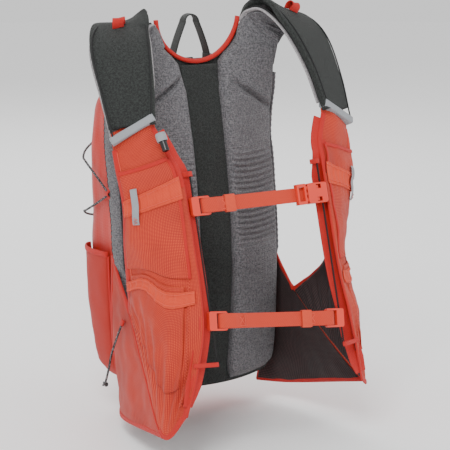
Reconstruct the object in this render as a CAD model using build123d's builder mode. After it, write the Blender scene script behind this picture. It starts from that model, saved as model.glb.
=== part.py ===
from build123d import *
import os
from math import cos, radians, sin, tan

# A vest-style hydration pack for running and hiking, in the shape it takes when worn.
# Millimetres. The origin is on the middle of the back panel where it meets the wearer,
# -Y points from the pack to the wearer's chest, +Z is up, and +X is the wearer's left.

os.makedirs("parts", exist_ok=True)
SIDES = (("left", -1), ("right", 1))      # as seen by someone facing the wearer's chest

# ---- back panel: a surface that bows along the spine and wraps across the back ----
PANEL_LEAN = 0.095          # slope of the spine line at the origin
PANEL_BOW = 5.4e-4          # curvature of the spine line
PANEL_WRAP = 2.96e-3        # how the panel falls back towards its side edges
TOP_FOLD = 2.1e-7           # how the shoulders of the panel come forward again
TOP_FOLD_START = 100
PANEL_BOTTOM = -236
PANEL_HALF_WIDTH = 130
HORN_TOP = 286              # the two points that carry the shoulder straps
HORN_HALF_GAP = 65
NOTCH_HEIGHT = 236          # bottom of the neckline
CORNER_RADIUS = 16
SHOULDER_DROP = 34          # from a horn to the corner of the panel's shoulder
SHOULDER_IN = 12
SHOULDER_FOOT = 190         # below this the panel's sides are straight
FOOT_RISE = 40              # height of the panel's cut lower corners
CUT_DEPTH = 400             # deep enough to pass through the curved panel everywhere
SLAB_REACH = 150            # the panel's surface is made this far to each side
SLAB_BOTTOM = -275
SLAB_STEP = 50
SLAB_ABOVE = 24             # and this far above the horns

SPINE_THICKNESS = 6
SPINE_HALF_WIDTH = 25
SPINE_FOOT_HALF_WIDTH = 19
SPINE_INSET = 4             # the strip stops short of the panel's edges
PAD_RISE = 7                # how far a pad stands in front of the spine strip
PAD_GAP = 1                 # between a pad and the spine strip
PAD_FOOT = 8
PAD_MARGIN = 3
PAD_SHOULDER = (0.9, 244)   # share of the pad's half width, and height
PAD_HORN = ((76, 270), (58, 262), (38, 234))
PAD_HEAD = 200
SHEET_BACK = 9              # back face of the back panel's fabric
NECK_BINDING = 6            # width of the neckline's binding
NECK_TAPER = 4
FRAME_MARGIN = 24
FRAME_TOP_MARGIN = 70
FRAME_SHEET = (10, 11.6)    # layers are given by their distance behind the spine strip's face
SLEEVE = (12.5, 44)
SLEEVE_WALL = 1.4
SLEEVE_TOP = 48
SLEEVE_BELOW = 22           # how far the sleeve reaches below the bladder
SLEEVE_BESIDE = 5
BLADDER = (14.2, 42)
BLADDER_HALF_WIDTH = 76
BLADDER_BOTTOM = -196
BLADDER_TOP = 118
CAP_HEIGHT = 86
CAP_RADIUS = 31
CAP_THICKNESS = 12
NECK_RADIUS = 27
NECK_LENGTH = 22
CAP_STAND_OFF = 8
PORT_RADIUS = 5.5
PORT_LENGTH = 12

# ---- bag: height, half width, rear face, corner radius ----
BAG_STATIONS = (
    (-238, 98, 132, 38),
    (-226, 112, 152, 46),
    (-190, 122, 168, 52),
    (-90, 130, 184, 56),
    (60, 131, 187, 57),
    (150, 128, 183, 57),
    (196, 121, 160, 54),
    (232, 104, 112, 40),
)
BAG_FRONT = 0
BAG_WALL = 2
BAG_BOTTOM = BAG_STATIONS[0][0]
BAG_TOP = BAG_STATIONS[-1][0]

POCKET_STAND_OFF = 13       # outer face of the stretch pocket, outside the bag
POCKET_WALL = 2
POCKET_MOUTH = -42
POCKET_BASE = -226
POCKET_FRONT = 84
POCKET_REAR = 160
MOUTH_BINDING = 8           # height of the bound edge
MOUTH_STAND_OFF = 16

# ---- shoulder straps: inner and outer edge from the panel's horn, over the top, to the end ----
STRAP_INNER = (
    (70, 57, 294),
    (75, 43, 309),
    (86, 18, 312),
    (104, -14, 284),
    (122, -42, 234),
    (134, -60, 183),
)
STRAP_OUTER = (
    (124, 38, 263),
    (150, 43, 283),
    (176, 36, 280),
    (189, 14, 254),
    (190, -18, 204),
    (188, -44, 152),
)
STRAP_THICKNESS = 8
LINING_THICKNESS = 2.5
BAND_HEIGHT = 11
BAND_THICKNESS = 13
TAB_SIZE = (22, 18, 4)
TAB_PLACE = (140, 34, 298)
TAB_TURN = 25

WHISTLE_RADIUS = 5
WHISTLE_LENGTH = 27
WHISTLE_PLACE = (-138, -88, 163)
WHISTLE_AXIS = (0.1, -0.5, -0.86)
WHISTLE_BORE = 2.2
LOOP_HEIGHT = 12
LOOP_WALL = 1.4
LOOP_CLEARANCE = 0.5

# ---- vest fronts: centre-front edge and armhole edge, from the strap end to the hem ----
VEST_FRONT_EDGE = (
    (136, -66, 169),
    (120, -82, 132),
    (113, -105, 98),
    (112, -137, 0),
    (113, -154, -51),
    (118, -168, -98),
    (130, -171, -156),
    (143, -167, -209),
)
VEST_ARM_EDGE = (
    (189, -49, 137),
    (189, -58, 112),
    (184, -68, 64),
    (175, -52, 4),
    (163, -37, -56),
    (153, -20, -88),
    (145, -4, -110),
    (137, 10, -126),
)
VEST_HEM = (                # from the front corner, by the hanging tip, up to the armhole's low point
    (143, -167, -209),
    (164, -140, -236),
    (151, -62, -180),
    (137, 10, -126),
)
VEST_WAIST_ROW = 3          # below this row the fabric fans out to the hem
VEST_BELLY = 9              # how far a vest front bows away from the chest
VEST_THICKNESS = 2.2
POCKET_LAYER = (1.6, 3.2)   # lifted layers on the vest, by their distance from its middle
ELASTIC_LAYER = (3.6, 5.2)
LOOP_LAYER = (5.6, 7.0)

WING_ROWS = (
    ((138, 14, -127), (135, 43, -98), (133, 72, -62)),
    ((152, -48, -177), (145, 12, -176), (133, 74, -161)),
    ((167, -138, -242), (146, 18, -264), (116, 78, -264)),
)
WING_THICKNESS = 2.2

# ---- chest straps: they hang on two straight rails, one on each centre-front edge ----
RAIL_X = 102
RAIL_RADIUS = 1.6
RAIL_POINT = (0, -118, 64)  # where the upper strap crosses the rail plane
RAIL_DROP = 0.306           # how far the rails come forward for each unit that they fall
RAIL_ABOVE = 48
RAIL_BELOW = 212
WEB_WIDTH = 20
WEB_THICKNESS = 2
UPPER_RISE = 0              # where each strap sits along the rails
LOWER_RISE = -167
LOWER_SLOPE = -6
HOOK_LENGTH = 28
HOOK_WIDTH = 26
HOOK_THICKNESS = 7
RAIL_BORE = 2.2
BAR = 4
WINDOW = 9
FOLD_LENGTH = 34
GAP = 0.4                   # running clearance of every sliding fit
KEEPER_LENGTH = 16
KEEPER_WALL = 1.8
BUCKLE_LENGTH = 32
BUCKLE_WIDTH = 29
LADDER_LENGTH = 15
PRONG_LENGTH = 21
PRONG_WIDTH = 4.5

# ---- haul loop, cords and zip ----
HAUL_HALF_GAP = 29
HAUL_ROOT = 246
HAUL_RISE = 58
HAUL_WIDTH = 20
HAUL_THICKNESS = 2
HAUL_Y = 79
CORD_RADIUS = 1.6
LOCK_SIZE = (18, 12, 20)
LOCK_STRAND = 4
DRAW_ROUTE = (
    (-146, 18, -127),
    (-152, 24, -150),
    (-157, 31, -174),
    (-156, 40, -197),
    (-158, 47, -217),
)
KNOT_RADIUS = 4.5
ANCHOR_SIZE = (9, 9, 8)
ZIP_WIDTH = 26
ZIP_HALF_LENGTH = 84
ZIP_THICKNESS = 1.6
SLIDER_SIZE = (14, 9, 4)


def spine_y(height):
    """Depth of the spine strip's face at a height."""
    return PANEL_LEAN * height + PANEL_BOW * height**2


def panel_y(across, height):
    """Depth of the panel's face at any point of its front view."""
    fold = max(0, height - TOP_FOLD_START)
    return spine_y(height) + (PANEL_WRAP - TOP_FOLD * fold**2) * across**2


def surface_through(rows):
    """A smooth face through rows of points."""
    return Face.make_surface_from_array_of_points([[Vector(*p) for p in row] for row in rows])


def panel_slab(front, back):
    """The whole panel surface as a slab between two distances behind its face."""
    columns = [SLAB_REACH * step / 4 for step in range(-4, 5)]
    heights = [SLAB_BOTTOM + SLAB_STEP * step for step in range(12)] + [HORN_TOP + SLAB_ABOVE]
    rows = [[(x, panel_y(x, z) + front, z) for x in columns] for z in heights]
    with BuildPart() as slab:
        extrude(surface_through(rows), amount=back - front, dir=(0, 1, 0))
    return slab.part


def lifted_face(face, across, along, lift, outward):
    """A patch of a face, raised from it. across and along are the fractions that it spans."""
    columns = 4 + round(6 * (across[1] - across[0]))
    rows = 4 + round(14 * (along[1] - along[0]))
    if face.normal_at(0.5, 0.5).dot(Vector(*outward)) < 0:
        lift = -lift
    points = []
    for row in range(rows):
        v = along[0] + (along[1] - along[0]) * row / (rows - 1)
        line = []
        for column in range(columns):
            u = across[0] + (across[1] - across[0]) * column / (columns - 1)
            line.append(face.position_at(v, u) + face.normal_at(v, u) * lift)
        points.append(line)
    return surface_through(points)


def bag_envelope(inset):
    """The bag's filled outer form, drawn in by inset on every wall."""
    with BuildPart() as envelope:
        for height, half_width, rear, corner in BAG_STATIONS:
            level = min(max(height, BAG_BOTTOM + inset), BAG_TOP - inset)
            depth = rear - BAG_FRONT
            with BuildSketch(Plane.XY.offset(level)):
                with Locations((0, BAG_FRONT + depth / 2)):
                    RectangleRounded(2 * (half_width - inset), depth - 2 * inset, corner - inset)
        loft()
    return envelope.part


def panel_outline(margin, top_margin):
    """Front view of the back panel, drawn in from its edges."""
    half = PANEL_HALF_WIDTH - margin
    bottom = PANEL_BOTTOM + margin
    horn = HORN_TOP - top_margin
    gap = HORN_HALF_GAP
    shoulder = (half - SHOULDER_IN, horn - SHOULDER_DROP)
    foot = (half - CORNER_RADIUS, bottom)
    corner = (half, bottom + FOOT_RISE)
    side = (half, SHOULDER_FOOT)
    with BuildSketch(Plane.XZ) as outline:
        with BuildLine():
            Polyline(
                (gap, horn), shoulder, side, corner, foot,
                (-foot[0], foot[1]), (-corner[0], corner[1]), (-side[0], side[1]), (-shoulder[0], shoulder[1]),
                (-gap, horn),
            )
            ThreePointArc((-gap, horn), (0, NOTCH_HEIGHT - top_margin), (gap, horn))
        make_face()
    return outline.sketch


def save(part, name):
    part.label = name
    export_step(part, f"parts/{name}.step")


# ================= back panel =================
with BuildPart() as back_panel_sheet:
    extrude(panel_outline(0, 0), amount=CUT_DEPTH, both=True)
    add(panel_slab(SPINE_THICKNESS, SHEET_BACK), mode=Mode.INTERSECT)
save(back_panel_sheet.part, "back_panel_sheet")

with BuildPart() as spine_panel:
    with BuildSketch(Plane.XZ):
        with BuildLine():
            foot = (SPINE_FOOT_HALF_WIDTH, PANEL_BOTTOM + SPINE_INSET)
            head = (SPINE_HALF_WIDTH, 0)
            crown = (SPINE_HALF_WIDTH, NOTCH_HEIGHT - SPINE_INSET)
            Polyline(foot, head, crown, (-crown[0], crown[1]), (-head[0], 0), (-foot[0], foot[1]), foot)
        make_face()
    extrude(amount=CUT_DEPTH, both=True)
    add(panel_slab(0, SPINE_THICKNESS), mode=Mode.INTERSECT)
save(spine_panel.part, "spine_panel")

for side_name, side in SIDES:
    inner = side * (SPINE_HALF_WIDTH + PAD_GAP)
    outer = side * (PANEL_HALF_WIDTH - PAD_MARGIN)
    pad_foot = PANEL_BOTTOM + PAD_FOOT
    with BuildPart() as back_pad:
        with BuildSketch(Plane.XZ) as pad_outline:
            with BuildLine():
                Polyline(
                    (inner, pad_foot), (outer, pad_foot), (outer, SHOULDER_FOOT),
                    (outer * PAD_SHOULDER[0], PAD_SHOULDER[1]),
                    *((side * x, z) for x, z in PAD_HORN), (inner, PAD_HEAD), (inner, pad_foot),
                )
            make_face()
            fillet(pad_outline.vertices(), CORNER_RADIUS / 2)
        extrude(amount=CUT_DEPTH, both=True)
        add(panel_slab(-PAD_RISE, SPINE_THICKNESS), mode=Mode.INTERSECT)
    save(back_pad.part, f"back_pad_{side_name}")

with BuildPart() as neckline_binding:
    with BuildSketch(Plane.XZ):
        with BuildLine():
            ThreePointArc((-HORN_HALF_GAP, HORN_TOP), (0, NOTCH_HEIGHT), (HORN_HALF_GAP, HORN_TOP))
            end_x = HORN_HALF_GAP - NECK_TAPER
            end_z = HORN_TOP + NECK_BINDING
            Line((HORN_HALF_GAP, HORN_TOP), (end_x, end_z))
            ThreePointArc((end_x, end_z), (0, NOTCH_HEIGHT + NECK_BINDING + 1), (-end_x, end_z))
            Line((-end_x, end_z), (-HORN_HALF_GAP, HORN_TOP))
        make_face()
    extrude(amount=CUT_DEPTH, both=True)
    add(panel_slab(1, SHEET_BACK + 1), mode=Mode.INTERSECT)
save(neckline_binding.part, "neckline_binding")

# ================= bag =================
bag_outer = bag_envelope(0)
bag_inner = bag_envelope(BAG_WALL)
panel_block = panel_slab(-300, SHEET_BACK)
with BuildPart() as bag_shell:
    add(bag_outer)
    add(bag_inner, mode=Mode.SUBTRACT)
    add(panel_block, mode=Mode.SUBTRACT)
save(bag_shell.part, "bag_shell")

with BuildPart() as frame_sheet:
    extrude(panel_outline(FRAME_MARGIN, FRAME_TOP_MARGIN), amount=CUT_DEPTH, both=True)
    add(panel_slab(*FRAME_SHEET), mode=Mode.INTERSECT)
save(frame_sheet.part, "frame_sheet")

sleeve_bottom = BLADDER_BOTTOM - SLEEVE_BELOW
sleeve_top = SLEEVE_TOP
sleeve_half = BLADDER_HALF_WIDTH + SLEEVE_BESIDE
bladder_void = panel_slab(SLEEVE[0] - 1, SLEEVE[1] - SLEEVE_WALL)
with BuildPart() as reservoir_sleeve:
    with BuildSketch(Plane.XZ):
        with Locations((0, (sleeve_bottom + sleeve_top) / 2)):
            Rectangle(2 * sleeve_half, sleeve_top - sleeve_bottom)
    extrude(amount=CUT_DEPTH, both=True)
    add(panel_slab(*SLEEVE), mode=Mode.INTERSECT)
    with BuildPart(mode=Mode.PRIVATE) as sleeve_space:
        with BuildSketch(Plane.XZ):
            with Locations((0, (sleeve_bottom + SLEEVE_WALL + sleeve_top + 10) / 2)):
                Rectangle(2 * (sleeve_half - SLEEVE_WALL), sleeve_top + 10 - sleeve_bottom - SLEEVE_WALL)
        extrude(amount=CUT_DEPTH, both=True)
        add(bladder_void, mode=Mode.INTERSECT)
    add(sleeve_space.part, mode=Mode.SUBTRACT)
save(reservoir_sleeve.part, "reservoir_sleeve")

neck_y = panel_y(0, CAP_HEIGHT) + BLADDER[1]
with BuildPart() as reservoir_bladder:
    with BuildSketch(Plane.XZ) as bladder_outline:
        with Locations((0, (BLADDER_BOTTOM + BLADDER_TOP) / 2)):
            RectangleRounded(2 * BLADDER_HALF_WIDTH, BLADDER_TOP - BLADDER_BOTTOM, 2 * CORNER_RADIUS)
    extrude(amount=CUT_DEPTH, both=True)
    add(panel_slab(*BLADDER), mode=Mode.INTERSECT)
    with BuildSketch(Plane((0, neck_y - 6, CAP_HEIGHT), x_dir=(1, 0, 0), z_dir=(0, 1, 0))):
        Circle(NECK_RADIUS)
    extrude(amount=NECK_LENGTH)
save(reservoir_bladder.part, "reservoir_bladder")

cap_plane = Plane((0, neck_y + CAP_STAND_OFF, CAP_HEIGHT), x_dir=(1, 0, 0), z_dir=(0, 1, 0))
with BuildPart() as reservoir_cap:
    with BuildSketch(cap_plane):
        Circle(CAP_RADIUS)
    extrude(amount=CAP_THICKNESS)
    with BuildSketch(cap_plane):
        Circle(NECK_RADIUS + GAP)
    extrude(amount=CAP_THICKNESS - 3, mode=Mode.SUBTRACT)
    with BuildSketch(cap_plane.offset(CAP_THICKNESS)):
        Rectangle(2 * CAP_RADIUS - 8, 6)
    extrude(amount=5)
save(reservoir_cap.part, "reservoir_cap")

port_plane = Plane((0, panel_y(0, BLADDER_BOTTOM) + 28, BLADDER_BOTTOM), z_dir=(0, 0, -1))
with BuildPart() as hose_port:
    with BuildSketch(port_plane):
        Circle(PORT_RADIUS)
        Circle(PORT_RADIUS - 2, mode=Mode.SUBTRACT)
    extrude(amount=PORT_LENGTH)
save(hose_port.part, "hose_port")

for side_name, side in SIDES:
    with BuildPart() as region:
        with Locations((side * 150, (POCKET_FRONT + POCKET_REAR) / 2, (POCKET_MOUTH + POCKET_BASE) / 2)):
            Box(160, POCKET_REAR - POCKET_FRONT, POCKET_MOUTH - POCKET_BASE)
    with BuildPart() as hollow:
        add(bag_envelope(POCKET_WALL - POCKET_STAND_OFF))
        with Locations((side * 150, (POCKET_FRONT + POCKET_REAR) / 2, (POCKET_MOUTH + POCKET_BASE) / 2 + 20)):
            Box(
                170, POCKET_REAR - POCKET_FRONT - 2 * POCKET_WALL,
                POCKET_MOUTH - POCKET_BASE - 2 * POCKET_WALL + 40, mode=Mode.INTERSECT,
            )
    with BuildPart() as side_pocket:
        add(bag_envelope(-POCKET_STAND_OFF))
        add(region.part, mode=Mode.INTERSECT)
        add(hollow.part, mode=Mode.SUBTRACT)
        add(bag_outer, mode=Mode.SUBTRACT)
    save(side_pocket.part, f"side_pocket_{side_name}")

    with BuildPart() as binding_region:
        with Locations((side * 150, (POCKET_FRONT + POCKET_REAR) / 2, POCKET_MOUTH + MOUTH_BINDING / 2)):
            Box(160, POCKET_REAR - POCKET_FRONT, MOUTH_BINDING)
    with BuildPart() as pocket_binding:
        add(bag_envelope(-MOUTH_STAND_OFF))
        add(binding_region.part, mode=Mode.INTERSECT)
        add(bag_envelope(POCKET_WALL - POCKET_STAND_OFF), mode=Mode.SUBTRACT)
    save(pocket_binding.part, f"pocket_binding_{side_name}")

# ================= shoulder straps =================
STRAP_OUTWARD = (0.3, -0.5, 0.8)


def strap_rows(side):
    """Rows across the strap's lower face, from its base to its end."""
    rows = []
    for inner, outer in zip(STRAP_INNER, STRAP_OUTER):
        row = []
        for step in range(4):
            share = step / 3
            row.append([a + (b - a) * share for a, b in zip(inner, outer)])
        rows.append([(side * x, y, z) for x, y, z in row])
    return rows


for side_name, side in SIDES:
    strap_face = surface_through(strap_rows(side))
    outward = (side * STRAP_OUTWARD[0], STRAP_OUTWARD[1], STRAP_OUTWARD[2])
    lining_face = lifted_face(strap_face, (0.03, 0.97), (0.0, 1.0), -LINING_THICKNESS - GAP, outward)
    with BuildPart() as shoulder_strap:
        thicken(strap_face, amount=STRAP_THICKNESS, normal_override=outward)
    save(shoulder_strap.part, f"shoulder_strap_{side_name}")
    with BuildPart() as strap_lining:
        thicken(lining_face, amount=LINING_THICKNESS, normal_override=outward)
    save(strap_lining.part, f"strap_lining_{side_name}")

    end_inner = Vector(side * STRAP_INNER[-1][0], *STRAP_INNER[-1][1:])
    end_outer = Vector(side * STRAP_OUTER[-1][0], *STRAP_OUTER[-1][1:])
    end_run = Vector(side * STRAP_INNER[-2][0], *STRAP_INNER[-2][1:]) - end_inner
    end_width = end_outer - end_inner
    end_normal = end_width.cross(end_run) * side
    band_plane = Plane((end_inner + end_outer) / 2, x_dir=end_width, z_dir=end_normal)
    if band_plane.z_dir.dot(Vector(*outward)) < 0:
        band_plane = Plane(band_plane.origin, x_dir=end_width, z_dir=-band_plane.z_dir)
    below = 1 if band_plane.y_dir.Z < 0 else -1
    with BuildPart() as reflective_band:
        with BuildSketch(band_plane.offset(STRAP_THICKNESS - BAND_THICKNESS + 2)):
            with Locations((0, below * (BAND_HEIGHT / 2 + 0.6))):
                Rectangle(end_width.length + 3, BAND_HEIGHT)
        extrude(amount=BAND_THICKNESS)
    save(reflective_band.part, f"reflective_band_{side_name}")

    with BuildPart() as strap_tab:
        tab_plane = Plane((side * TAB_PLACE[0], TAB_PLACE[1], TAB_PLACE[2])).rotated((0, side * TAB_TURN, 0))
        with BuildSketch(tab_plane):
            Rectangle(TAB_SIZE[0], TAB_SIZE[2])
        extrude(amount=TAB_SIZE[1])
    save(strap_tab.part, f"strap_tab_{side_name}")

# ================= whistle =================
whistle_plane = Plane(WHISTLE_PLACE, z_dir=WHISTLE_AXIS)
with BuildPart() as whistle_loop:
    with BuildSketch(whistle_plane):
        Circle(WHISTLE_RADIUS + LOOP_CLEARANCE + LOOP_WALL)
        Circle(WHISTLE_RADIUS + LOOP_CLEARANCE, mode=Mode.SUBTRACT)
    extrude(amount=LOOP_HEIGHT)
save(whistle_loop.part, "whistle_loop")

with BuildPart() as whistle:
    with BuildSketch(whistle_plane.offset(-1)):
        Circle(WHISTLE_RADIUS)
    extrude(amount=WHISTLE_LENGTH)
    fillet(whistle.edges().filter_by(GeomType.CIRCLE), 1)
    with BuildSketch(whistle_plane.offset(WHISTLE_LENGTH - 1)):
        Circle(WHISTLE_BORE)
    extrude(amount=-0.7 * WHISTLE_LENGTH, mode=Mode.SUBTRACT)
save(whistle.part, "whistle")

# ================= vest fronts =================
VEST_OUTWARD = (0.6, -0.8, 0)


def between(start, end, share):
    """The point that lies a share of the way from one point to another."""
    return [a + (b - a) * share for a, b in zip(start, end)]


def vest_rows(side):
    """Rows across a vest front, from the centre-front edge to the armhole edge."""
    rows = []
    last = len(VEST_FRONT_EDGE) - 1
    waist = (VEST_FRONT_EDGE[VEST_WAIST_ROW], VEST_ARM_EDGE[VEST_WAIST_ROW])
    for number, (front, arm) in enumerate(zip(VEST_FRONT_EDGE, VEST_ARM_EDGE)):
        fan = max(0, number - VEST_WAIST_ROW) / (last - VEST_WAIST_ROW)
        row = []
        for step, hem in enumerate(VEST_HEM):
            share = step / 3
            bow = VEST_BELLY * 4 * share * (1 - share) * (1 - fan)
            point = between(front, arm, share)
            if fan and 0 < share < 1:
                point = between(between(*waist, share), hem, fan)
            x, y, z = point
            row.append((side * (x + VEST_OUTWARD[0] * bow), y + VEST_OUTWARD[1] * bow, z))
        rows.append(row)
    return rows


def vest_layer(name, face, side, across, along, layer):
    """A strip or patch of fabric that lies on a vest front."""
    outward = (side * VEST_OUTWARD[0], VEST_OUTWARD[1], VEST_OUTWARD[2])
    base = lifted_face(face, across, along, layer[0], outward)
    with BuildPart() as strip:
        thicken(base, amount=layer[1] - layer[0], normal_override=outward)
    save(strip.part, f"{name}_{'left' if side < 0 else 'right'}")


for side_name, side in SIDES:
    outward = (side * VEST_OUTWARD[0], VEST_OUTWARD[1], VEST_OUTWARD[2])
    vest_face = surface_through(vest_rows(side))
    with BuildPart() as vest_panel:
        thicken(vest_face, amount=VEST_THICKNESS / 2, normal_override=outward, both=True)
    save(vest_panel.part, f"vest_panel_{side_name}")
    vest_layer("upper_vest_pocket", vest_face, side, (0.1, 0.96), (0.16, 0.5), POCKET_LAYER)
    vest_layer("lower_vest_pocket", vest_face, side, (0.16, 0.9), (0.53, 0.86), POCKET_LAYER)
    vest_layer("upper_elastic_band", vest_face, side, (0.06, 0.98), (0.275, 0.315), ELASTIC_LAYER)
    vest_layer("lower_elastic_band", vest_face, side, (0.06, 0.98), (0.555, 0.595), ELASTIC_LAYER)
    vest_layer("pole_loop", vest_face, side, (0.7, 0.82), (0.24, 0.35), LOOP_LAYER)

    with BuildPart() as side_wing:
        wing_face = surface_through([[(side * x, y, z) for x, y, z in row] for row in WING_ROWS])
        thicken(wing_face, amount=WING_THICKNESS / 2, both=True)
    save(side_wing.part, f"side_wing_{side_name}")

# ================= rails and chest straps =================
fall = Vector(0, -RAIL_DROP, -1).normalized()
rail_origin = Vector(*RAIL_POINT)
strap_normal = Vector(0, -1, RAIL_DROP).normalized()


def rail_plane(rise, slope=0):
    """Plane of a chest strap: x runs along the strap, y up the rails, z away from the chest."""
    run = Vector(cos(radians(slope)), 0, 0) - fall * sin(radians(slope))
    return Plane(rail_origin - fall * rise, x_dir=run, z_dir=strap_normal)


for side_name, side in SIDES:
    top = rail_origin - fall * RAIL_ABOVE + Vector(side * RAIL_X, 0, 0)
    with BuildPart() as sternum_rail:
        with BuildSketch(Plane(top, x_dir=(1, 0, 0), z_dir=fall)):
            Circle(RAIL_RADIUS)
        extrude(amount=RAIL_ABOVE + RAIL_BELOW)
        for drop in (0, RAIL_ABOVE + RAIL_BELOW - 6):
            with BuildSketch(Plane(top + fall * drop, x_dir=(1, 0, 0), z_dir=fall)):
                with Locations((side * 4, 0)):
                    Rectangle(8, 2)
            extrude(amount=6)
    save(sternum_rail.part, f"sternum_rail_{side_name}")


def rail_hook(name, plane, side):
    """A frame that clips over a rail, with a window and a bar for the webbing."""
    middle = side * (RAIL_X + 5 - HOOK_LENGTH / 2)
    window_x = side * (RAIL_X - 11)
    with BuildPart() as hook:
        with BuildSketch(plane.offset(-HOOK_THICKNESS / 2)):
            with Locations((middle, 0)):
                RectangleRounded(HOOK_LENGTH, HOOK_WIDTH, 3)
        extrude(amount=HOOK_THICKNESS)
        with BuildSketch(plane.offset(-HOOK_THICKNESS)):
            with Locations((window_x, 0)):
                Rectangle(WINDOW, WEB_WIDTH + 2 * GAP)
        extrude(amount=2 * HOOK_THICKNESS, mode=Mode.SUBTRACT)
        rail_foot = Vector(side * RAIL_X, plane.origin.Y, plane.origin.Z) + fall * 2 * HOOK_WIDTH
        with BuildSketch(Plane(rail_foot, x_dir=(1, 0, 0), z_dir=-fall)):
            Circle(RAIL_BORE)
        extrude(amount=4 * HOOK_WIDTH, mode=Mode.SUBTRACT)
    save(hook.part, name)


def webbing(name, plane, start, end, fold_start, fold_end):
    """Chest webbing: one layer between its ends, doubled where it turns round a bar."""
    section = Plane(plane.origin - plane.y_dir * WEB_WIDTH / 2, x_dir=plane.x_dir, z_dir=plane.y_dir)
    with BuildPart() as web:
        with BuildSketch(section):
            with Locations(((start + end) / 2, 0)):
                Rectangle(end - start, WEB_THICKNESS)
            for fold in (fold_start, fold_end):
                if fold:
                    with Locations((fold, 0)):
                        SlotOverall(FOLD_LENGTH, 2 * (HOOK_THICKNESS / 2 + GAP + WEB_THICKNESS))
                        SlotOverall(FOLD_LENGTH - 2 * WEB_THICKNESS, 2 * (HOOK_THICKNESS / 2 + GAP), mode=Mode.SUBTRACT)
        extrude(amount=WEB_WIDTH)
    save(web.part, name)


def keeper(name, plane, place):
    """An elastic ring that holds the webbing's loose tail."""
    section = Plane(plane.origin + plane.x_dir * (place - KEEPER_LENGTH / 2), x_dir=plane.y_dir, z_dir=plane.x_dir)
    with BuildPart() as ring:
        with BuildSketch(section):
            Rectangle(WEB_WIDTH + 2 * GAP + 2 * KEEPER_WALL, WEB_THICKNESS + 2 * GAP + 2 * KEEPER_WALL)
            Rectangle(WEB_WIDTH + 2 * GAP, WEB_THICKNESS + 2 * GAP, mode=Mode.SUBTRACT)
        extrude(amount=KEEPER_LENGTH)
    save(ring.part, name)


upper = rail_plane(UPPER_RISE)
fold_middle = RAIL_X - 11 - FOLD_LENGTH / 2
web_start = fold_middle - FOLD_LENGTH / 2 + WEB_THICKNESS / 2
buckle_start = RAIL_X + 6 - BUCKLE_LENGTH
rail_hook("upper_hook_left", upper, -1)
webbing("upper_webbing", upper, -web_start, buckle_start - 3, -fold_middle, None)
keeper("upper_keeper", upper, 3 + KEEPER_LENGTH / 2 - web_start)

under = -HOOK_THICKNESS / 2
channel = (WEB_THICKNESS / 2 + GAP, HOOK_THICKNESS - 1)
with BuildPart() as upper_buckle_female:
    with BuildSketch(upper.offset(under)):
        with Locations((buckle_start + BUCKLE_LENGTH / 2, 0)):
            RectangleRounded(BUCKLE_LENGTH, BUCKLE_WIDTH, 4)
    extrude(amount=HOOK_THICKNESS + 4.5)
    fillet(upper_buckle_female.edges().group_by(Axis(upper.origin, upper.z_dir))[-1], 1.5)
    with BuildSketch(upper.offset(channel[0] - GAP)):
        with Locations((buckle_start + BUCKLE_LENGTH / 2 - 5, 0)):
            Rectangle(BUCKLE_LENGTH - 7, BUCKLE_WIDTH - 4)
    extrude(amount=channel[1] - channel[0] + 2 * GAP, mode=Mode.SUBTRACT)
    with BuildSketch(upper.offset(channel[0])):
        with Locations((buckle_start + BUCKLE_LENGTH / 2 + 2, BUCKLE_WIDTH / 2 - 5.5)):
            Rectangle(8, 6)
        with Locations((buckle_start + BUCKLE_LENGTH / 2 + 2, 5.5 - BUCKLE_WIDTH / 2)):
            Rectangle(8, 6)
    extrude(amount=HOOK_THICKNESS * 2, mode=Mode.SUBTRACT)
    rail_bore = Plane(upper.origin - upper.y_dir * HOOK_WIDTH, x_dir=upper.x_dir, z_dir=upper.y_dir)
    with BuildSketch(rail_bore):
        with Locations((RAIL_X, 0)):
            Circle(RAIL_BORE)
    extrude(amount=2 * HOOK_WIDTH, mode=Mode.SUBTRACT)
save(upper_buckle_female.part, "upper_buckle_female")

ladder_end = buckle_start - 1.5
ladder_start = ladder_end - LADDER_LENGTH
rail_inner = WEB_WIDTH / 2 + GAP
with BuildPart() as upper_buckle_male:
    with BuildSketch(upper.offset(channel[0])):
        with Locations(((ladder_start + ladder_end) / 2, 0)):
            RectangleRounded(LADDER_LENGTH, BUCKLE_WIDTH, 2)
            Rectangle(LADDER_LENGTH - 2 * BAR + 2, WEB_WIDTH, mode=Mode.SUBTRACT)
    extrude(amount=channel[1] - channel[0])
    with BuildSketch(upper.offset(channel[0])):
        with Locations((ladder_end + PRONG_LENGTH / 2 - 1, 0)):
            with Locations((0, BUCKLE_WIDTH / 2 - 6), (0, 6 - BUCKLE_WIDTH / 2)):
                Rectangle(PRONG_LENGTH, PRONG_WIDTH)
            Rectangle(PRONG_LENGTH, 3)
    extrude(amount=channel[1] - channel[0])
    with BuildSketch(upper.offset(under)):
        for edge in (1, -1):
            with Locations(((ladder_start + ladder_end) / 2, edge * (rail_inner + BUCKLE_WIDTH / 2) / 2)):
                Rectangle(LADDER_LENGTH - 2, BUCKLE_WIDTH / 2 - rail_inner)
    extrude(amount=channel[0] - under)
    with BuildSketch(upper.offset(under)):
        with Locations((ladder_start + BAR / 2 + 1, 0)):
            Rectangle(BAR - 1, BUCKLE_WIDTH - 2)
    extrude(amount=-under - WEB_THICKNESS / 2 - GAP)
save(upper_buckle_male.part, "upper_buckle_male")

lower_web = rail_plane(LOWER_RISE, LOWER_SLOPE)
rail_hook("lower_hook_left", lower_web, -1)
rail_hook("lower_hook_right", lower_web, 1)
webbing("lower_webbing", lower_web, -web_start, web_start, -fold_middle, fold_middle)
keeper("lower_keeper", lower_web, web_start - 3 - KEEPER_LENGTH / 2)

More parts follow.
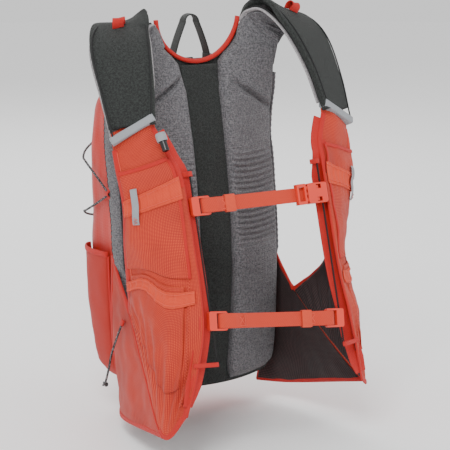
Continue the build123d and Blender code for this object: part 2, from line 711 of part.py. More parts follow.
# ================= haul loop =================
haul_plane = Plane((0, HAUL_Y, HAUL_ROOT), x_dir=(1, 0, 0), z_dir=(0, -1, 0))
with BuildPart() as haul_loop:
    with BuildSketch(haul_plane.offset(-HAUL_WIDTH / 2)):
        for edge in (HAUL_HALF_GAP + HAUL_THICKNESS / 2, HAUL_HALF_GAP - HAUL_THICKNESS / 2):
            with BuildLine():
                foot_left = (-edge, 0)
                foot_right = (edge, 0)
                knee = HAUL_RISE - HAUL_HALF_GAP
                Line(foot_left, (-edge, knee))
                ThreePointArc((-edge, knee), (0, knee + edge), (edge, knee))
                Polyline((edge, knee), foot_right, foot_left)
            make_face(mode=Mode.ADD if edge > HAUL_HALF_GAP else Mode.SUBTRACT)
    extrude(amount=HAUL_WIDTH)
save(haul_loop.part, "haul_loop")
with BuildPart() as haul_anchor:
    for side_name, side in SIDES:
        with Locations((side * HAUL_HALF_GAP, HAUL_Y, HAUL_ROOT - 12)):
            Box(6, HAUL_WIDTH, 10)
    add(panel_block, mode=Mode.SUBTRACT)
    add(bag_outer, mode=Mode.SUBTRACT)
save(haul_anchor.part, "haul_anchor")

# ================= compression cord, held by guides on the bag =================
CORD_REAR = 190
CORD_SIDE = 134
CORD_HIGH = 118
CORD_LOW = -8
HOOK_Y = 76
HOOK_HEIGHT = 52
CORNER_SIDE = (133.8, 155)
CORNER_REAR = (99, 189.8)
STRAND_TOP = 110
STRAND_FOOT = 26


def cord_half(side):
    """One side of the compression cord, from its free foot to the middle of the rear."""
    return [
        (side * LOCK_STRAND, CORD_REAR + 2, STRAND_FOOT),
        (side * LOCK_STRAND, CORD_REAR + 2, STRAND_TOP),
        (side * 78, CORD_REAR, CORD_HIGH),
        (side * CORNER_REAR[0], CORNER_REAR[1], 111),
        (side * CORNER_SIDE[0], CORNER_SIDE[1], 90),
        (side * CORD_SIDE, HOOK_Y, HOOK_HEIGHT),
        (side * CORNER_SIDE[0], CORNER_SIDE[1], 14),
        (side * CORNER_REAR[0], CORNER_REAR[1], -2),
        (side * 78, CORD_REAR, CORD_LOW),
    ]


def largest_radii(points, share=0.45):
    """The largest arc that each corner of a route allows."""
    radii = []
    for before, here, after in zip(points, points[1:], points[2:]):
        first = Vector(*here) - Vector(*before)
        second = Vector(*after) - Vector(*here)
        turn = radians(first.get_angle(second))
        radii.append(share * min(first.length, second.length) / tan(turn / 2))
    return radii


route = cord_half(-1) + cord_half(1)[::-1]
with BuildPart() as compression_cord:
    with BuildLine() as cord_line:
        FilletPolyline(*route, radius=[min(radius, 14) for radius in largest_radii(route)])
    with BuildSketch(Plane(route[0], z_dir=(0, 0, 1))):
        Circle(CORD_RADIUS)
    sweep(path=cord_line.wires()[0])
save(compression_cord.part, "compression_cord")

with BuildPart() as cord_guides:
    for side_name, side in SIDES:
        for height in (CORD_HIGH, CORD_LOW):
            with Locations((side * 78, CORD_REAR - 0.5, height)):
                Box(8, 6, 8)
        with Locations((side * CORD_SIDE, HOOK_Y - 1, HOOK_HEIGHT)):
            Box(6, 9, 12)
    add(bag_outer, mode=Mode.SUBTRACT)
save(cord_guides.part, "cord_guides")

with BuildPart() as cord_lock:
    with Locations((0, CORD_REAR + 2 + 1.8, STRAND_FOOT + 8 + LOCK_SIZE[2] / 2)):
        Box(*LOCK_SIZE)
    fillet(cord_lock.edges().filter_by(Axis.Z), 3)
    for side_name, side in SIDES:
        with BuildSketch(Plane((side * LOCK_STRAND, CORD_REAR + 2, 0))):
            Circle(CORD_RADIUS + GAP)
        extrude(amount=4 * LOCK_SIZE[2], mode=Mode.SUBTRACT)
save(cord_lock.part, "cord_lock")

# ================= draw cord with a knotted end =================
draw_radii = largest_radii(DRAW_ROUTE)
print("draw cord arc radii", [round(radius, 1) for radius in draw_radii])
with BuildPart() as draw_cord:
    with BuildLine() as draw_line:
        FilletPolyline(*DRAW_ROUTE, radius=draw_radii)
    with BuildSketch(Plane(DRAW_ROUTE[0], z_dir=Vector(*DRAW_ROUTE[1]) - Vector(*DRAW_ROUTE[0]))):
        Circle(CORD_RADIUS)
    sweep(path=draw_line.wires()[0])
print("draw cord length", round(draw_line.wires()[0].length, 1))
save(draw_cord.part, "draw_cord")

knot_run = (Vector(*DRAW_ROUTE[-1]) - Vector(*DRAW_ROUTE[-2])).normalized()
with BuildPart() as draw_cord_knot:
    with Locations(Vector(*DRAW_ROUTE[-1]) + knot_run * KNOT_RADIUS):
        Sphere(KNOT_RADIUS)
save(draw_cord_knot.part, "draw_cord_knot")

with BuildPart() as draw_cord_anchor:
    first_run = (Vector(*DRAW_ROUTE[1]) - Vector(*DRAW_ROUTE[0])).normalized()
    with BuildSketch(Plane(Vector(*DRAW_ROUTE[0]), z_dir=-first_run)):
        Rectangle(ANCHOR_SIZE[0] - 4, ANCHOR_SIZE[1])
    extrude(amount=ANCHOR_SIZE[2])
save(draw_cord_anchor.part, "draw_cord_anchor")

# ================= main zip over the sloping top =================
ZIP_Y = 118
with BuildPart() as main_zip:
    add(bag_envelope(-ZIP_THICKNESS))
    with Locations((0, ZIP_Y, BAG_TOP)):
        Box(2 * ZIP_HALF_LENGTH, ZIP_WIDTH, 60, mode=Mode.INTERSECT)
    add(bag_outer, mode=Mode.SUBTRACT)
save(main_zip.part, "main_zip")
zip_top = main_zip.part.bounding_box().max.Z
with BuildPart() as zip_slider:
    with Locations((0, ZIP_Y, zip_top + GAP + SLIDER_SIZE[2] / 2)):
        Box(*SLIDER_SIZE)
    with Locations((SLIDER_SIZE[0] / 2 + 9, ZIP_Y, zip_top + GAP + SLIDER_SIZE[2] / 2)):
        Box(20, 5, 2)
save(zip_slider.part, "zip_slider")
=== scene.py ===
import math
import bpy
import numpy as np
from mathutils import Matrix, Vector, noise


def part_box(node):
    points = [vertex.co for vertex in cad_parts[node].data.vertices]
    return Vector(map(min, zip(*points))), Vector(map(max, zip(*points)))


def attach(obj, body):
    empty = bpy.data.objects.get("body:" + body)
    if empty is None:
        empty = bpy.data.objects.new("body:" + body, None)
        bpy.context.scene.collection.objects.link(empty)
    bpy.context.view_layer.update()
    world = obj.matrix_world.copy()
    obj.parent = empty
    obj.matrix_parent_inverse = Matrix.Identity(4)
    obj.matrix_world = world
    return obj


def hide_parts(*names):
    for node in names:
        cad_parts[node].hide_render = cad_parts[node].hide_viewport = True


# A vest-style hydration pack. Lengths are millimetres in the frame's axes until a mesh is made,
# where MM turns them into metres. -Y is the wearer's side, +Z is up, left is -X.

MM = 0.001
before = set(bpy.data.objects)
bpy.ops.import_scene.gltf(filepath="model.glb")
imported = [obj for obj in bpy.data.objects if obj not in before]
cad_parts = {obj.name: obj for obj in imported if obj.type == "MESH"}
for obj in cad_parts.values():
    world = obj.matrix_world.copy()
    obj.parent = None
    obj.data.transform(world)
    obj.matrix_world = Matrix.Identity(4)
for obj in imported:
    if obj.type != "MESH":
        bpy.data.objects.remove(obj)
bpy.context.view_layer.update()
PACK = "pack"
SIDES = (("left", -1), ("right", 1))

# ---------------------------------------------------------------- camera and light
CAMERA_AZIMUTH = -30
CAMERA_ELEVATION = 12
CAMERA_DISTANCE = 2.7
CAMERA_TARGET = Vector((0.037, 0.040, -0.005))
LENS = 147.0


def make_camera():
    a = math.radians(CAMERA_AZIMUTH)
    e = math.radians(CAMERA_ELEVATION)
    away = Vector((math.sin(a) * math.cos(e), -math.cos(a) * math.cos(e), math.sin(e)))
    data = bpy.data.cameras.new("camera")
    data.lens = LENS
    data.clip_end = 20
    camera = bpy.data.objects.new("camera", data)
    camera.location = CAMERA_TARGET + away * CAMERA_DISTANCE
    camera.rotation_euler = away.to_track_quat("Z", "Y").to_euler()
    bpy.context.collection.objects.link(camera)
    bpy.context.scene.camera = camera


def area_light(name, place, target, size, power):
    data = bpy.data.lights.new(name, "AREA")
    data.size = size
    data.energy = power
    light = bpy.data.objects.new(name, data)
    light.location = place
    light.rotation_euler = (Vector(place) - Vector(target)).to_track_quat("Z", "Y").to_euler()
    bpy.context.collection.objects.link(light)


make_camera()
area_light("key", (-1.5, -1.7, 2.3), (0, 0, 0), 1.1, 62)
area_light("fill", (2.4, -1.4, 0.8), (0, 0, 0), 1.6, 14)
area_light("back", (0.4, 2.2, 1.8), (0, 0, 0), 2.0, 34)
world = bpy.data.worlds.new("studio")
world.use_nodes = True
world.node_tree.nodes["Background"].inputs[0].default_value = (1, 1, 1, 1)
world.node_tree.nodes["Background"].inputs[1].default_value = 0.95
bpy.context.scene.world = world

# ---------------------------------------------------------------- materials


class Shader:
    """A small helper that adds nodes to one material."""

    def __init__(self, name, roughness, sheen=0.0, coat=0.0):
        self.material = bpy.data.materials.new(name)
        self.material.use_nodes = True
        self.tree = self.material.node_tree
        self.bsdf = self.tree.nodes["Principled BSDF"]
        self.bsdf.inputs["Roughness"].default_value = roughness
        self.bsdf.inputs["Sheen Weight"].default_value = sheen
        self.bsdf.inputs["Coat Weight"].default_value = coat

    def add(self, kind, **settings):
        node = self.tree.nodes.new(kind)
        for key, value in settings.items():
            setattr(node, key, value)
        return node

    def link(self, source, target):
        self.tree.links.new(source, target)

    def math(self, operation, first, second=0.0):
        node = self.add("ShaderNodeMath", operation=operation)
        for socket, value in zip(node.inputs, (first, second)):
            if isinstance(value, (int, float)):
                socket.default_value = value
            else:
                self.link(value, socket)
        return node.outputs[0]

    def cloth_place(self):
        """Across and along the cloth in millimetres, from the piece's own weave attribute."""
        node = self.add("ShaderNodeAttribute", attribute_name="weave")
        split = self.add("ShaderNodeSeparateXYZ")
        self.link(node.outputs["Vector"], split.inputs[0])
        return split.outputs[0], split.outputs[1]

    def object_place(self):
        return self.add("ShaderNodeTexCoord").outputs["Object"]

    def wave(self, value, period):
        """A sine of a length, between 0 and 1."""
        turned = self.math("MULTIPLY", value, 2 * math.pi / period)
        return self.half(self.math("SINE", turned))

    def half(self, value):
        node = self.add("ShaderNodeMath", operation="MULTIPLY_ADD")
        self.link(value, node.inputs[0])
        node.inputs[1].default_value = 0.5
        node.inputs[2].default_value = 0.5
        return node.outputs[0]

    def noise(self, scale, detail=3.0, place=None):
        node = self.add("ShaderNodeTexNoise")
        node.inputs["Scale"].default_value = scale
        node.inputs["Detail"].default_value = detail
        self.link(place or self.object_place(), node.inputs["Vector"])
        return node.outputs["Fac"]

    def ramp(self, value, stops):
        node = self.add("ShaderNodeValToRGB")
        elements = node.color_ramp.elements
        while len(elements) < len(stops):
            elements.new(0.5)
        for element, (place, color) in zip(elements, stops):
            element.position = place
            element.color = (*color, 1)
        self.link(value, node.inputs[0])
        return node.outputs[0]

    def mix(self, factor, first, second, blend="MIX"):
        node = self.add("ShaderNodeMix", data_type="RGBA", blend_type=blend)
        for socket, value in ((node.inputs[0], factor), (node.inputs[6], first), (node.inputs[7], second)):
            if isinstance(value, (int, float)):
                socket.default_value = value
            elif isinstance(value, tuple):
                socket.default_value = (*value, 1)
            else:
                self.link(value, socket)
        return node.outputs[2]

    def color(self, value):
        self.link(value, self.bsdf.inputs["Base Color"])

    def bump(self, height, distance, strength=1.0, below=None):
        node = self.add("ShaderNodeBump")
        node.inputs["Strength"].default_value = strength
        node.inputs["Distance"].default_value = distance
        self.link(height, node.inputs["Height"])
        if below:
            self.link(below, node.inputs["Normal"])
        self.link(node.outputs[0], self.bsdf.inputs["Normal"])
        return node.outputs[0]


def srgb(red, green, blue):
    """A display colour of 0 to 255 as a linear one."""
    out = []
    for value in (red, green, blue):
        share = value / 255
        out.append(share / 12.92 if share <= 0.04045 else ((share + 0.055) / 1.055) ** 2.4)
    return tuple(out)


def mesh_material(name, ground, dots, period=2.3, hole_depth=0.0005):
    """Open warp-knit mesh: rows of small raised cells over a deeper ground."""
    s = Shader(name, 0.7, sheen=0.06)
    across, along = s.cloth_place()
    cells = s.math("MULTIPLY", s.wave(across, period), s.wave(along, period * 0.8))
    shade = s.noise(14, 4)
    rows = s.ramp(cells, ((0.18, ground), (0.6, dots)))
    dark = tuple(0.62 * c for c in ground)
    s.color(s.mix(s.ramp(shade, ((0.42, (0, 0, 0)), (0.75, (0.5, 0.5, 0.5)))), rows, dark))
    s.bump(cells, hole_depth, 0.7)
    return s.material


HEATHER_SCALE = 420


def knit_material(name, low, high, period=1.7):
    """Heather knit: columns of small stitches with mottled yarn."""
    s = Shader(name, 0.9, sheen=0.08)
    across, along = s.cloth_place()
    slant = s.math("ABSOLUTE", s.math("SINE", s.math("MULTIPLY", across, math.pi / period)))
    lift = s.math("ADD", s.math("MULTIPLY", slant, 0.9), along)
    stitch = s.math("MULTIPLY", s.wave(lift, period), slant)
    yarn = s.noise(HEATHER_SCALE, 3)
    fleck = s.ramp(yarn, ((0.36, (0, 0, 0)), (0.66, (1, 1, 1))))
    s.color(s.mix(fleck, low, high))
    both = s.math("ADD", stitch, s.math("MULTIPLY", yarn, 0.5))
    s.bump(both, 0.0009, 0.9)
    return s.material


def webbing_material(name, low, high, rib=1.3, cross=1.1):
    """Woven or elastic webbing: ribs along the strap crossed by the weft."""
    s = Shader(name, 0.7, sheen=0.06)
    across, along = s.cloth_place()
    weave = s.math("MULTIPLY", s.wave(s.math("ADD", across, s.math("MULTIPLY", along, 0.7)), rib * 1.6),
                   s.wave(along, cross))
    s.color(s.mix(weave, low, high))
    s.bump(weave, 0.0004, 0.8)
    return s.material


def ripstop_material(name, low, high, grid=4.2):
    """Thin coated cloth with a square grid of thicker yarns."""
    s = Shader(name, 0.5, sheen=0.05)
    across, along = s.cloth_place()
    lines = s.math("MAXIMUM", s.wave(across, grid), s.wave(along, grid))
    raised = s.ramp(lines, ((0.93, (0, 0, 0)), (0.99, (1, 1, 1))))
    shade = s.noise(9, 4)
    s.color(s.mix(s.math("MULTIPLY", raised, 0.25), s.mix(shade, low, high), high))
    fine = s.math("MULTIPLY", s.wave(across, 0.7), s.wave(along, 0.7))
    s.bump(s.math("ADD", raised, s.math("MULTIPLY", fine, 0.5)), 0.0002, 0.6)
    return s.material


def plastic_material(name, color, roughness=0.32):
    """Moulded plastic with a faint grain."""
    s = Shader(name, roughness, coat=0.25)
    grain = s.noise(900, 2)
    tone = s.noise(30, 3)
    s.color(s.mix(tone, tuple(0.82 * c for c in color), color))
    s.bump(grain, 0.00008, 0.5)
    s.link(s.math("MULTIPLY_ADD", grain, 0.12), s.bsdf.inputs["Roughness"])
    s.bsdf.inputs["Roughness"].links[0].from_node.inputs[2].default_value = roughness
    return s.material


def cord_material(name, low, high):
    """Braided elastic cord with light flecks."""
    s = Shader(name, 0.8)
    flecks = s.noise(700, 1)
    s.color(s.ramp(flecks, ((0.55, low), (0.62, high))))
    s.bump(flecks, 0.0004, 0.7)
    return s.material


def film_material(name, color):
    """Translucent bladder film."""
    s = Shader(name, 0.2, coat=0.4)
    s.color(s.mix(s.noise(20, 3), color, tuple(0.8 * c for c in color)))
    s.bsdf.inputs["Transmission Weight"].default_value = 0.3
    s.bump(s.noise(60, 2), 0.001, 0.4)
    return s.material


MAT = {
    "mesh": mesh_material("vest_mesh", srgb(168, 18, 0), srgb(232, 84, 34)),
    "lining_mesh": mesh_material("dark_mesh", srgb(18, 10, 11), srgb(84, 58, 58), 2.6),
    "wing": mesh_material("wing_cloth", srgb(158, 16, 0), srgb(222, 66, 24), 2.6),
    "bag": ripstop_material("bag_cloth", srgb(140, 8, 0), srgb(214, 34, 4)),
    "stretch": webbing_material("stretch_cloth", srgb(160, 16, 0), srgb(216, 44, 10), 0.9, 0.9),
    "binding": webbing_material("binding_tape", srgb(176, 10, 0), srgb(226, 24, 0), 0.9, 0.8),
    "webbing": webbing_material("chest_webbing", srgb(190, 36, 8), srgb(236, 80, 36)),
    "elastic": webbing_material("elastic_band", srgb(206, 48, 16), srgb(240, 98, 52), 0.8, 1.6),
    "charcoal": knit_material("charcoal_knit", srgb(16, 19, 17), srgb(48, 53, 50), 1.1),
    "pad": knit_material("pad_knit", srgb(76, 75, 78), srgb(122, 120, 123), 3.2),
    "ribbed": knit_material("strap_lining_knit", srgb(66, 62, 64), srgb(112, 106, 109), 3.0),
    "edge_mesh": knit_material("edge_mesh", srgb(138, 134, 136), srgb(176, 172, 174), 2.0),
    "reflective": webbing_material("reflective_tape", srgb(140, 143, 147), srgb(178, 181, 185), 0.8, 0.8),
    "haul": webbing_material("haul_webbing", srgb(14, 17, 16), srgb(52, 57, 54)),
    "red_plastic": plastic_material("red_plastic", srgb(232, 58, 34)),
    "black_plastic": plastic_material("black_plastic", srgb(18, 18, 19), 0.25),
    "blue_plastic": plastic_material("blue_plastic", srgb(40, 84, 150)),
    "sheet_plastic": plastic_material("frame_plastic", srgb(40, 42, 44), 0.5),
    "cord": cord_material("braided_cord", srgb(22, 22, 23), srgb(150, 150, 152)),
    "piping": cord_material("piping_cord", srgb(16, 16, 17), srgb(30, 30, 31)),
    "film": film_material("bladder_film", srgb(150, 190, 214)),
    "thread": plastic_material("thread", srgb(236, 84, 58), 0.7),
}

# ---------------------------------------------------------------- mesh helpers


def resample(points, count):
    """A smooth curve through points along their first axis, as count even parameter steps."""
    points = np.asarray(points, float)
    last = len(points) - 1
    out = []
    for t in np.linspace(0, last, count):
        k = min(int(t), last - 1)
        f = t - k
        p0, p1, p2, p3 = (points[min(max(k + d, 0), last)] for d in (-1, 0, 1, 2))
        if k == 0:
            p0 = 2 * p1 - p2
        if k == last - 1:
            p3 = 2 * p2 - p1
        out.append(
            0.5 * (2 * p1 + (p2 - p0) * f + (2 * p0 - 5 * p1 + 4 * p2 - p3) * f**2
                   + (3 * p1 - p0 - 3 * p2 + p3) * f**3)
        )
    return np.array(out)


def unit(vectors):
    return vectors / np.maximum(np.linalg.norm(vectors, axis=-1, keepdims=True), 1e-9)


def even(points, count):
    """The same curve with its points spread evenly along its length."""
    points = resample(points, max(count * 4, 60))
    steps = np.r_[0, np.cumsum(np.linalg.norm(np.diff(points, axis=0), axis=1))]
    places = np.linspace(0, steps[-1], count)
    return np.stack([np.interp(places, steps, points[:, k]) for k in range(3)], axis=1)


def grid_of(rows, across, along):
    """A dense grid through rows of points: along by across."""
    dense = resample(np.asarray(rows, float), along)
    return np.transpose(resample(np.transpose(dense, (1, 0, 2)), across), (1, 0, 2))


def normals_of(grid, outward):
    """Unit normals of a grid, on the side that outward points to at its middle."""
    normals = unit(np.cross(np.gradient(grid, axis=1), np.gradient(grid, axis=0)))
    middle = normals[normals.shape[0] // 2, normals.shape[1] // 2]
    return normals if middle @ np.asarray(outward, float) > 0 else -normals


def lengths(grid):
    """Distances across and along a grid, for the weave."""
    across = np.linalg.norm(np.diff(grid, axis=1), axis=2).mean(axis=0)
    along = np.linalg.norm(np.diff(grid, axis=0), axis=2).mean(axis=1)
    return np.r_[0, np.cumsum(across)], np.r_[0, np.cumsum(along)]


def rough(points, scale, seed=0.0):
    """Smooth noise at each point, about -1 to 1."""
    flat = points.reshape(-1, 3)
    values = [noise.noise(Vector((p[0] / scale + seed, p[1] / scale, p[2] / scale - seed))) for p in flat]
    return np.array(values).reshape(points.shape[:-1])


def make_mesh(name, points, faces, weave, material, body=PACK, stands_for=()):
    """A piece from points in millimetres, with its weave coordinates and its body."""
    data = bpy.data.meshes.new(name)
    data.from_pydata([tuple(p) for p in np.asarray(points) * MM], [], [list(f) for f in faces])
    data.validate()
    layer = data.attributes.new("weave", "FLOAT_VECTOR", "POINT")
    layer.data.foreach_set("vector", np.asarray(weave, float).ravel())
    data.shade_smooth()
    data.materials.append(MAT[material])
    piece = bpy.data.objects.new(name, data)
    bpy.context.collection.objects.link(piece)
    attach(piece, body)
    if stands_for:
        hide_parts(*stands_for)
    return piece


def grid_faces(rows, columns, offset=0, flip=False):
    faces = []
    for i in range(rows - 1):
        for j in range(columns - 1):
            a = offset + i * columns + j
            face = (a, a + 1, a + columns + 1, a + columns)
            faces.append(face[::-1] if flip else face)
    return faces


def shell(name, grid, back, turned, material, body=PACK, stands_for=()):
    """A closed piece between a grid and its back, with a wall round the rim."""
    rows, columns = grid.shape[:2]
    count = rows * columns
    points = np.concatenate([grid.reshape(-1, 3), back.reshape(-1, 3)])
    x, y = lengths(grid)
    flat = np.stack([np.tile(x, (rows, 1)), np.tile(y[:, None], (1, columns)), np.zeros((rows, columns))], axis=2)
    faces = grid_faces(rows, columns, 0, turned) + grid_faces(rows, columns, count, not turned)
    rim = list(range(columns)) + [i * columns + columns - 1 for i in range(1, rows)]
    rim += [(rows - 1) * columns + j for j in range(columns - 2, -1, -1)]
    rim += [i * columns for i in range(rows - 2, 0, -1)]
    for a, b in zip(rim, rim[1:] + rim[:1]):
        face = (a, a + count, b + count, b)
        faces.append(face[::-1] if turned else face)
    return make_mesh(name, points, faces, np.tile(flat.reshape(-1, 3), (2, 1)), material, body, stands_for)


def cloth(name, grid, outward, thickness, material, body=PACK, stands_for=()):
    """A closed thin sheet whose outer face is the grid."""
    grid = np.asarray(grid, float)
    normals = normals_of(grid, outward)
    facing = np.cross(grid[0, 1] - grid[0, 0], grid[1, 0] - grid[0, 0]) @ normals[0, 0]
    return shell(name, grid, grid - normals * thickness, facing < 0, material, body, stands_for)


def strip(name, centres, sides, width, thickness, material, body=PACK, stands_for=(),
          closed=False, corner=2.6, around=16):
    """A band, tape, piping or pad: a rounded section carried along a line.

    sides are the directions across the band, and width and thickness may vary along it."""
    centres = np.asarray(centres, float)
    count = len(centres)
    run = np.gradient(centres, axis=0)
    if closed:
        run = np.roll(centres, -1, axis=0) - np.roll(centres, 1, axis=0)
    run = unit(run)
    sides = np.asarray(sides, float) * np.ones((count, 1))
    sides = unit(sides - run * np.sum(sides * run, axis=1, keepdims=True))
    lifts = unit(np.cross(run, sides))
    widths = np.ones(count) * width / 2
    heights = np.ones(count) * thickness / 2
    angles = np.linspace(0, 2 * math.pi, around, endpoint=False)
    power = 2 / corner
    c = np.sign(np.cos(angles)) * np.abs(np.cos(angles)) ** power
    s = np.sign(np.sin(angles)) * np.abs(np.sin(angles)) ** power
    points = (centres[:, None] + sides[:, None] * (c[None, :, None] * widths[:, None, None])
              + lifts[:, None] * (s[None, :, None] * heights[:, None, None]))
    steps = np.r_[0, np.cumsum(np.linalg.norm(np.diff(centres, axis=0), axis=1))]
    weave = np.zeros((count, around, 3))
    weave[:, :, 0] = c[None] * widths[:, None] + s[None] * heights[:, None] * 0.3
    weave[:, :, 1] = steps[:, None]
    faces = []
    for i in range(count if closed else count - 1):
        for j in range(around):
            a = i * around + j
            b = i * around + (j + 1) % around
            up = ((i + 1) % count - i) * around
            faces.append((a, b, b + up, a + up))
    if not closed:
        faces.append(tuple(range(around))[::-1])
        faces.append(tuple((count - 1) * around + j for j in range(around)))
    return make_mesh(name, points.reshape(-1, 3), faces, weave.reshape(-1, 3), material, body, stands_for)


def piping(name, line, radius, material, body=PACK, stands_for=(), closed=False):
    """A round cord along a line."""
    line = np.asarray(line, float)
    run = unit(np.gradient(line, axis=0))
    side = np.cross(run, (0.3, 0.5, 0.81))
    return strip(name, line, side, 2 * radius, 2 * radius, material, body, stands_for, closed, 2, 10)


def part_of(grid, across, along, columns, rows):
    """A resampled patch of a grid between fractions across and along it."""
    i = np.linspace(along[0] * (grid.shape[0] - 1), along[1] * (grid.shape[0] - 1), rows)
    j = np.linspace(across[0] * (grid.shape[1] - 1), across[1] * (grid.shape[1] - 1), columns)
    i0 = np.minimum(i.astype(int), grid.shape[0] - 2)
    j0 = np.minimum(j.astype(int), grid.shape[1] - 2)
    fi = (i - i0)[:, None, None]
    fj = (j - j0)[None, :, None]
    a = grid[i0][:, j0]
    b = grid[i0][:, j0 + 1]
    c = grid[i0 + 1][:, j0]
    d = grid[i0 + 1][:, j0 + 1]
    return (a * (1 - fj) + b * fj) * (1 - fi) + (c * (1 - fj) + d * fj) * fi


# ---------------------------------------------------------------- draw cord
DRAW_ROUTE = ((-146, 18, -127), (-152, 24, -150), (-157, 31, -174), (-156, 40, -197), (-158, 47, -217))
CORD_DIAMETER = 3.2


def draw_cord():
    """The left wing's draw cord: one NURBS line, with an overhand knot at its end."""
    curve = bpy.data.curves.new("draw_cord_line", "CURVE")
    curve.dimensions = "3D"
    spline = curve.splines.new("NURBS")
    spline.points.add(len(DRAW_ROUTE) - 1)
    for point, place in zip(spline.points, DRAW_ROUTE):
        point.co = (*(MM * value for value in place), 1)
    spline.order_u = 3
    spline.use_endpoint_u = True
    spline.resolution_u = 16
    curve.bevel_depth = CORD_DIAMETER * MM / 2
    curve.bevel_resolution = 6
    curve.use_fill_caps = True
    curve.materials.append(MAT["cord"])
    piece = bpy.data.objects.new("draw_cord_line", curve)
    bpy.context.collection.objects.link(piece)
    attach(piece, PACK)
    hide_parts("draw_cord")
    end = np.array(DRAW_ROUTE[-1], float)
    run = unit(end - np.array(DRAW_ROUTE[-2], float))
    side = unit(np.cross(run, (0, 1, 0)))
    other = np.cross(run, side)
    turn = np.linspace(0, 2 * math.pi, 90, endpoint=False)[:, None]
    line = (end + run * 4.2 + side * (np.sin(turn) + 2 * np.sin(2 * turn)) * 1.15
            + other * (np.cos(turn) - 2 * np.cos(2 * turn)) * 1.15 - run * np.sin(3 * turn) * 1.5)
    knot = piping("draw_knot", np.concatenate([line, line[:1]]), 1.45, "cord", stands_for=("draw_cord_knot",))
    start = np.array(DRAW_ROUTE[0], float)
    first = unit(np.array(DRAW_ROUTE[1], float) - start)
    tab = [start - first * 7.5, start - first * 3, start + first * 0.2]
    strip("draw_anchor", resample(tab, 12), (0, 1, 0), 8.5, 4.2, "binding", stands_for=("draw_cord_anchor",), corner=4)


draw_cord()

# ---------------------------------------------------------------- shapes shared with the frame
PANEL_LEAN = 0.095
PANEL_BOW = 5.4e-4
PANEL_WRAP = 2.96e-3
TOP_FOLD = 2.1e-7
TOP_FOLD_START = 100
PANEL_BOTTOM = -236
PANEL_HALF_WIDTH = 130
HORN_TOP = 286
HORN_HALF_GAP = 65
NOTCH_HEIGHT = 236
NECK_RADIUS = (HORN_HALF_GAP**2 + (HORN_TOP - NOTCH_HEIGHT) ** 2) / (2 * (HORN_TOP - NOTCH_HEIGHT))


def panel_y(x, z):
    fold = np.maximum(0, z - TOP_FOLD_START)
    return PANEL_LEAN * z + PANEL_BOW * z**2 + (PANEL_WRAP - TOP_FOLD * fold**2) * x**2


def neckline(x):
    """Height of the neckline's arc at a distance from the middle."""
    return NOTCH_HEIGHT + NECK_RADIUS - np.sqrt(np.maximum(NECK_RADIUS**2 - x**2, 0))


STRAP_INNER = ((70, 57, 294), (75, 43, 309), (86, 18, 312), (104, -14, 284), (122, -42, 234), (134, -60, 183))
STRAP_OUTER = ((124, 38, 263), (150, 43, 283), (176, 36, 280), (189, 14, 254), (190, -18, 204), (188, -44, 152))
VEST_FRONT_EDGE = ((136, -66, 169), (120, -82, 132), (113, -105, 98), (112, -137, 0), (113, -154, -51),
                   (118, -168, -98), (130, -171, -156), (143, -167, -209))
VEST_ARM_EDGE = ((189, -49, 137), (189, -58, 112), (184, -68, 64), (175, -52, 4), (163, -37, -56),
                 (153, -20, -88), (145, -4, -110), (137, 10, -126))
VEST_HEM = ((143, -167, -209), (164, -140, -236), (151, -62, -180), (137, 10, -126))
VEST_WAIST_ROW = 3
VEST_BELLY = 9
WING_ROWS = (
    ((138, 14, -127), (135, 43, -98), (133, 72, -62)),
    ((152, -48, -177), (145, 12, -176), (133, 74, -161)),
    ((167, -138, -242), (146, 18, -264), (116, 78, -264)),
)

# ---------------------------------------------------------------- bag
BAG_STATIONS = ((-238, 98, 132, 38), (-226, 112, 152, 46), (-190, 122, 168, 52), (-90, 130, 184, 56),
                (60, 131, 187, 57), (150, 128, 183, 57), (196, 121, 160, 54), (232, 104, 112, 40))
BAG_ROWS = 110
SIDE_STEPS = 40
CORNER_STEPS = 18
REAR_STEPS = 54
SHEET_BACK = 9
LID_ROWS = 14


def bag_section(z, half, rear, corner):
    """Points round the bag at one height, from its front left edge by the rear to its front right."""
    front = float(panel_y(half, z)) + SHEET_BACK
    front = min(front, rear - corner - 2)
    left = [(-half, y, z) for y in np.linspace(front, rear - corner, SIDE_STEPS, endpoint=False)]
    turn = [(-half + corner - corner * math.cos(a), rear - corner + corner * math.sin(a), z)
            for a in np.linspace(0, math.pi / 2, CORNER_STEPS, endpoint=False)]
    back = [(x, rear, z) for x in np.linspace(corner - half, half - corner, REAR_STEPS)]
    points = left + turn + back + [(-x, y, z) for x, y, z in (left + turn)[::-1]]
    return np.array(points)


def bag_grid():
    stations = resample(BAG_STATIONS, BAG_ROWS)
    rows = [bag_section(*station) for station in stations]
    top = rows[-1]
    middle = np.array((0, 66, BAG_STATIONS[-1][0]))
    for step in range(1, LID_ROWS):
        share = step / (LID_ROWS - 1)
        lid = middle + (top - middle) * (1 - share)
        lid[:, 2] = top[:, 2] + 0.8 * math.sin(share * math.pi / 2)
        rows.append(lid)
    bottom = rows[0]
    under = []
    for step in range(1, LID_ROWS):
        share = step / (LID_ROWS - 1)
        base = np.array((0, 80, 0)) * share + bottom * (1 - share)
        base[:, 2] = bottom[0, 2] - 3 * math.sin(share * math.pi / 2)
        under.append(base)
    return np.array(under[::-1] + rows)


bag_base = bag_grid()
bag_normals = normals_of(bag_base, (0, 1, 0))
fine = rough(bag_base, 52) * 3.4 + rough(bag_base * (1, 1, 0.45), 22, 3) * 1.7
edge_fade = np.ones(bag_base.shape[1])
edge_fade[:8] = np.linspace(0, 1, 8)
edge_fade[-8:] = np.linspace(1, 0, 8)
bag_skin = bag_base + bag_normals * (np.minimum(fine - 1.6, 0.3) * edge_fade[None] + 0.1)[..., None]
bag = cloth("bag_body", bag_skin, (0, 1, 0), 1.6, "bag", stands_for=("bag_shell",))


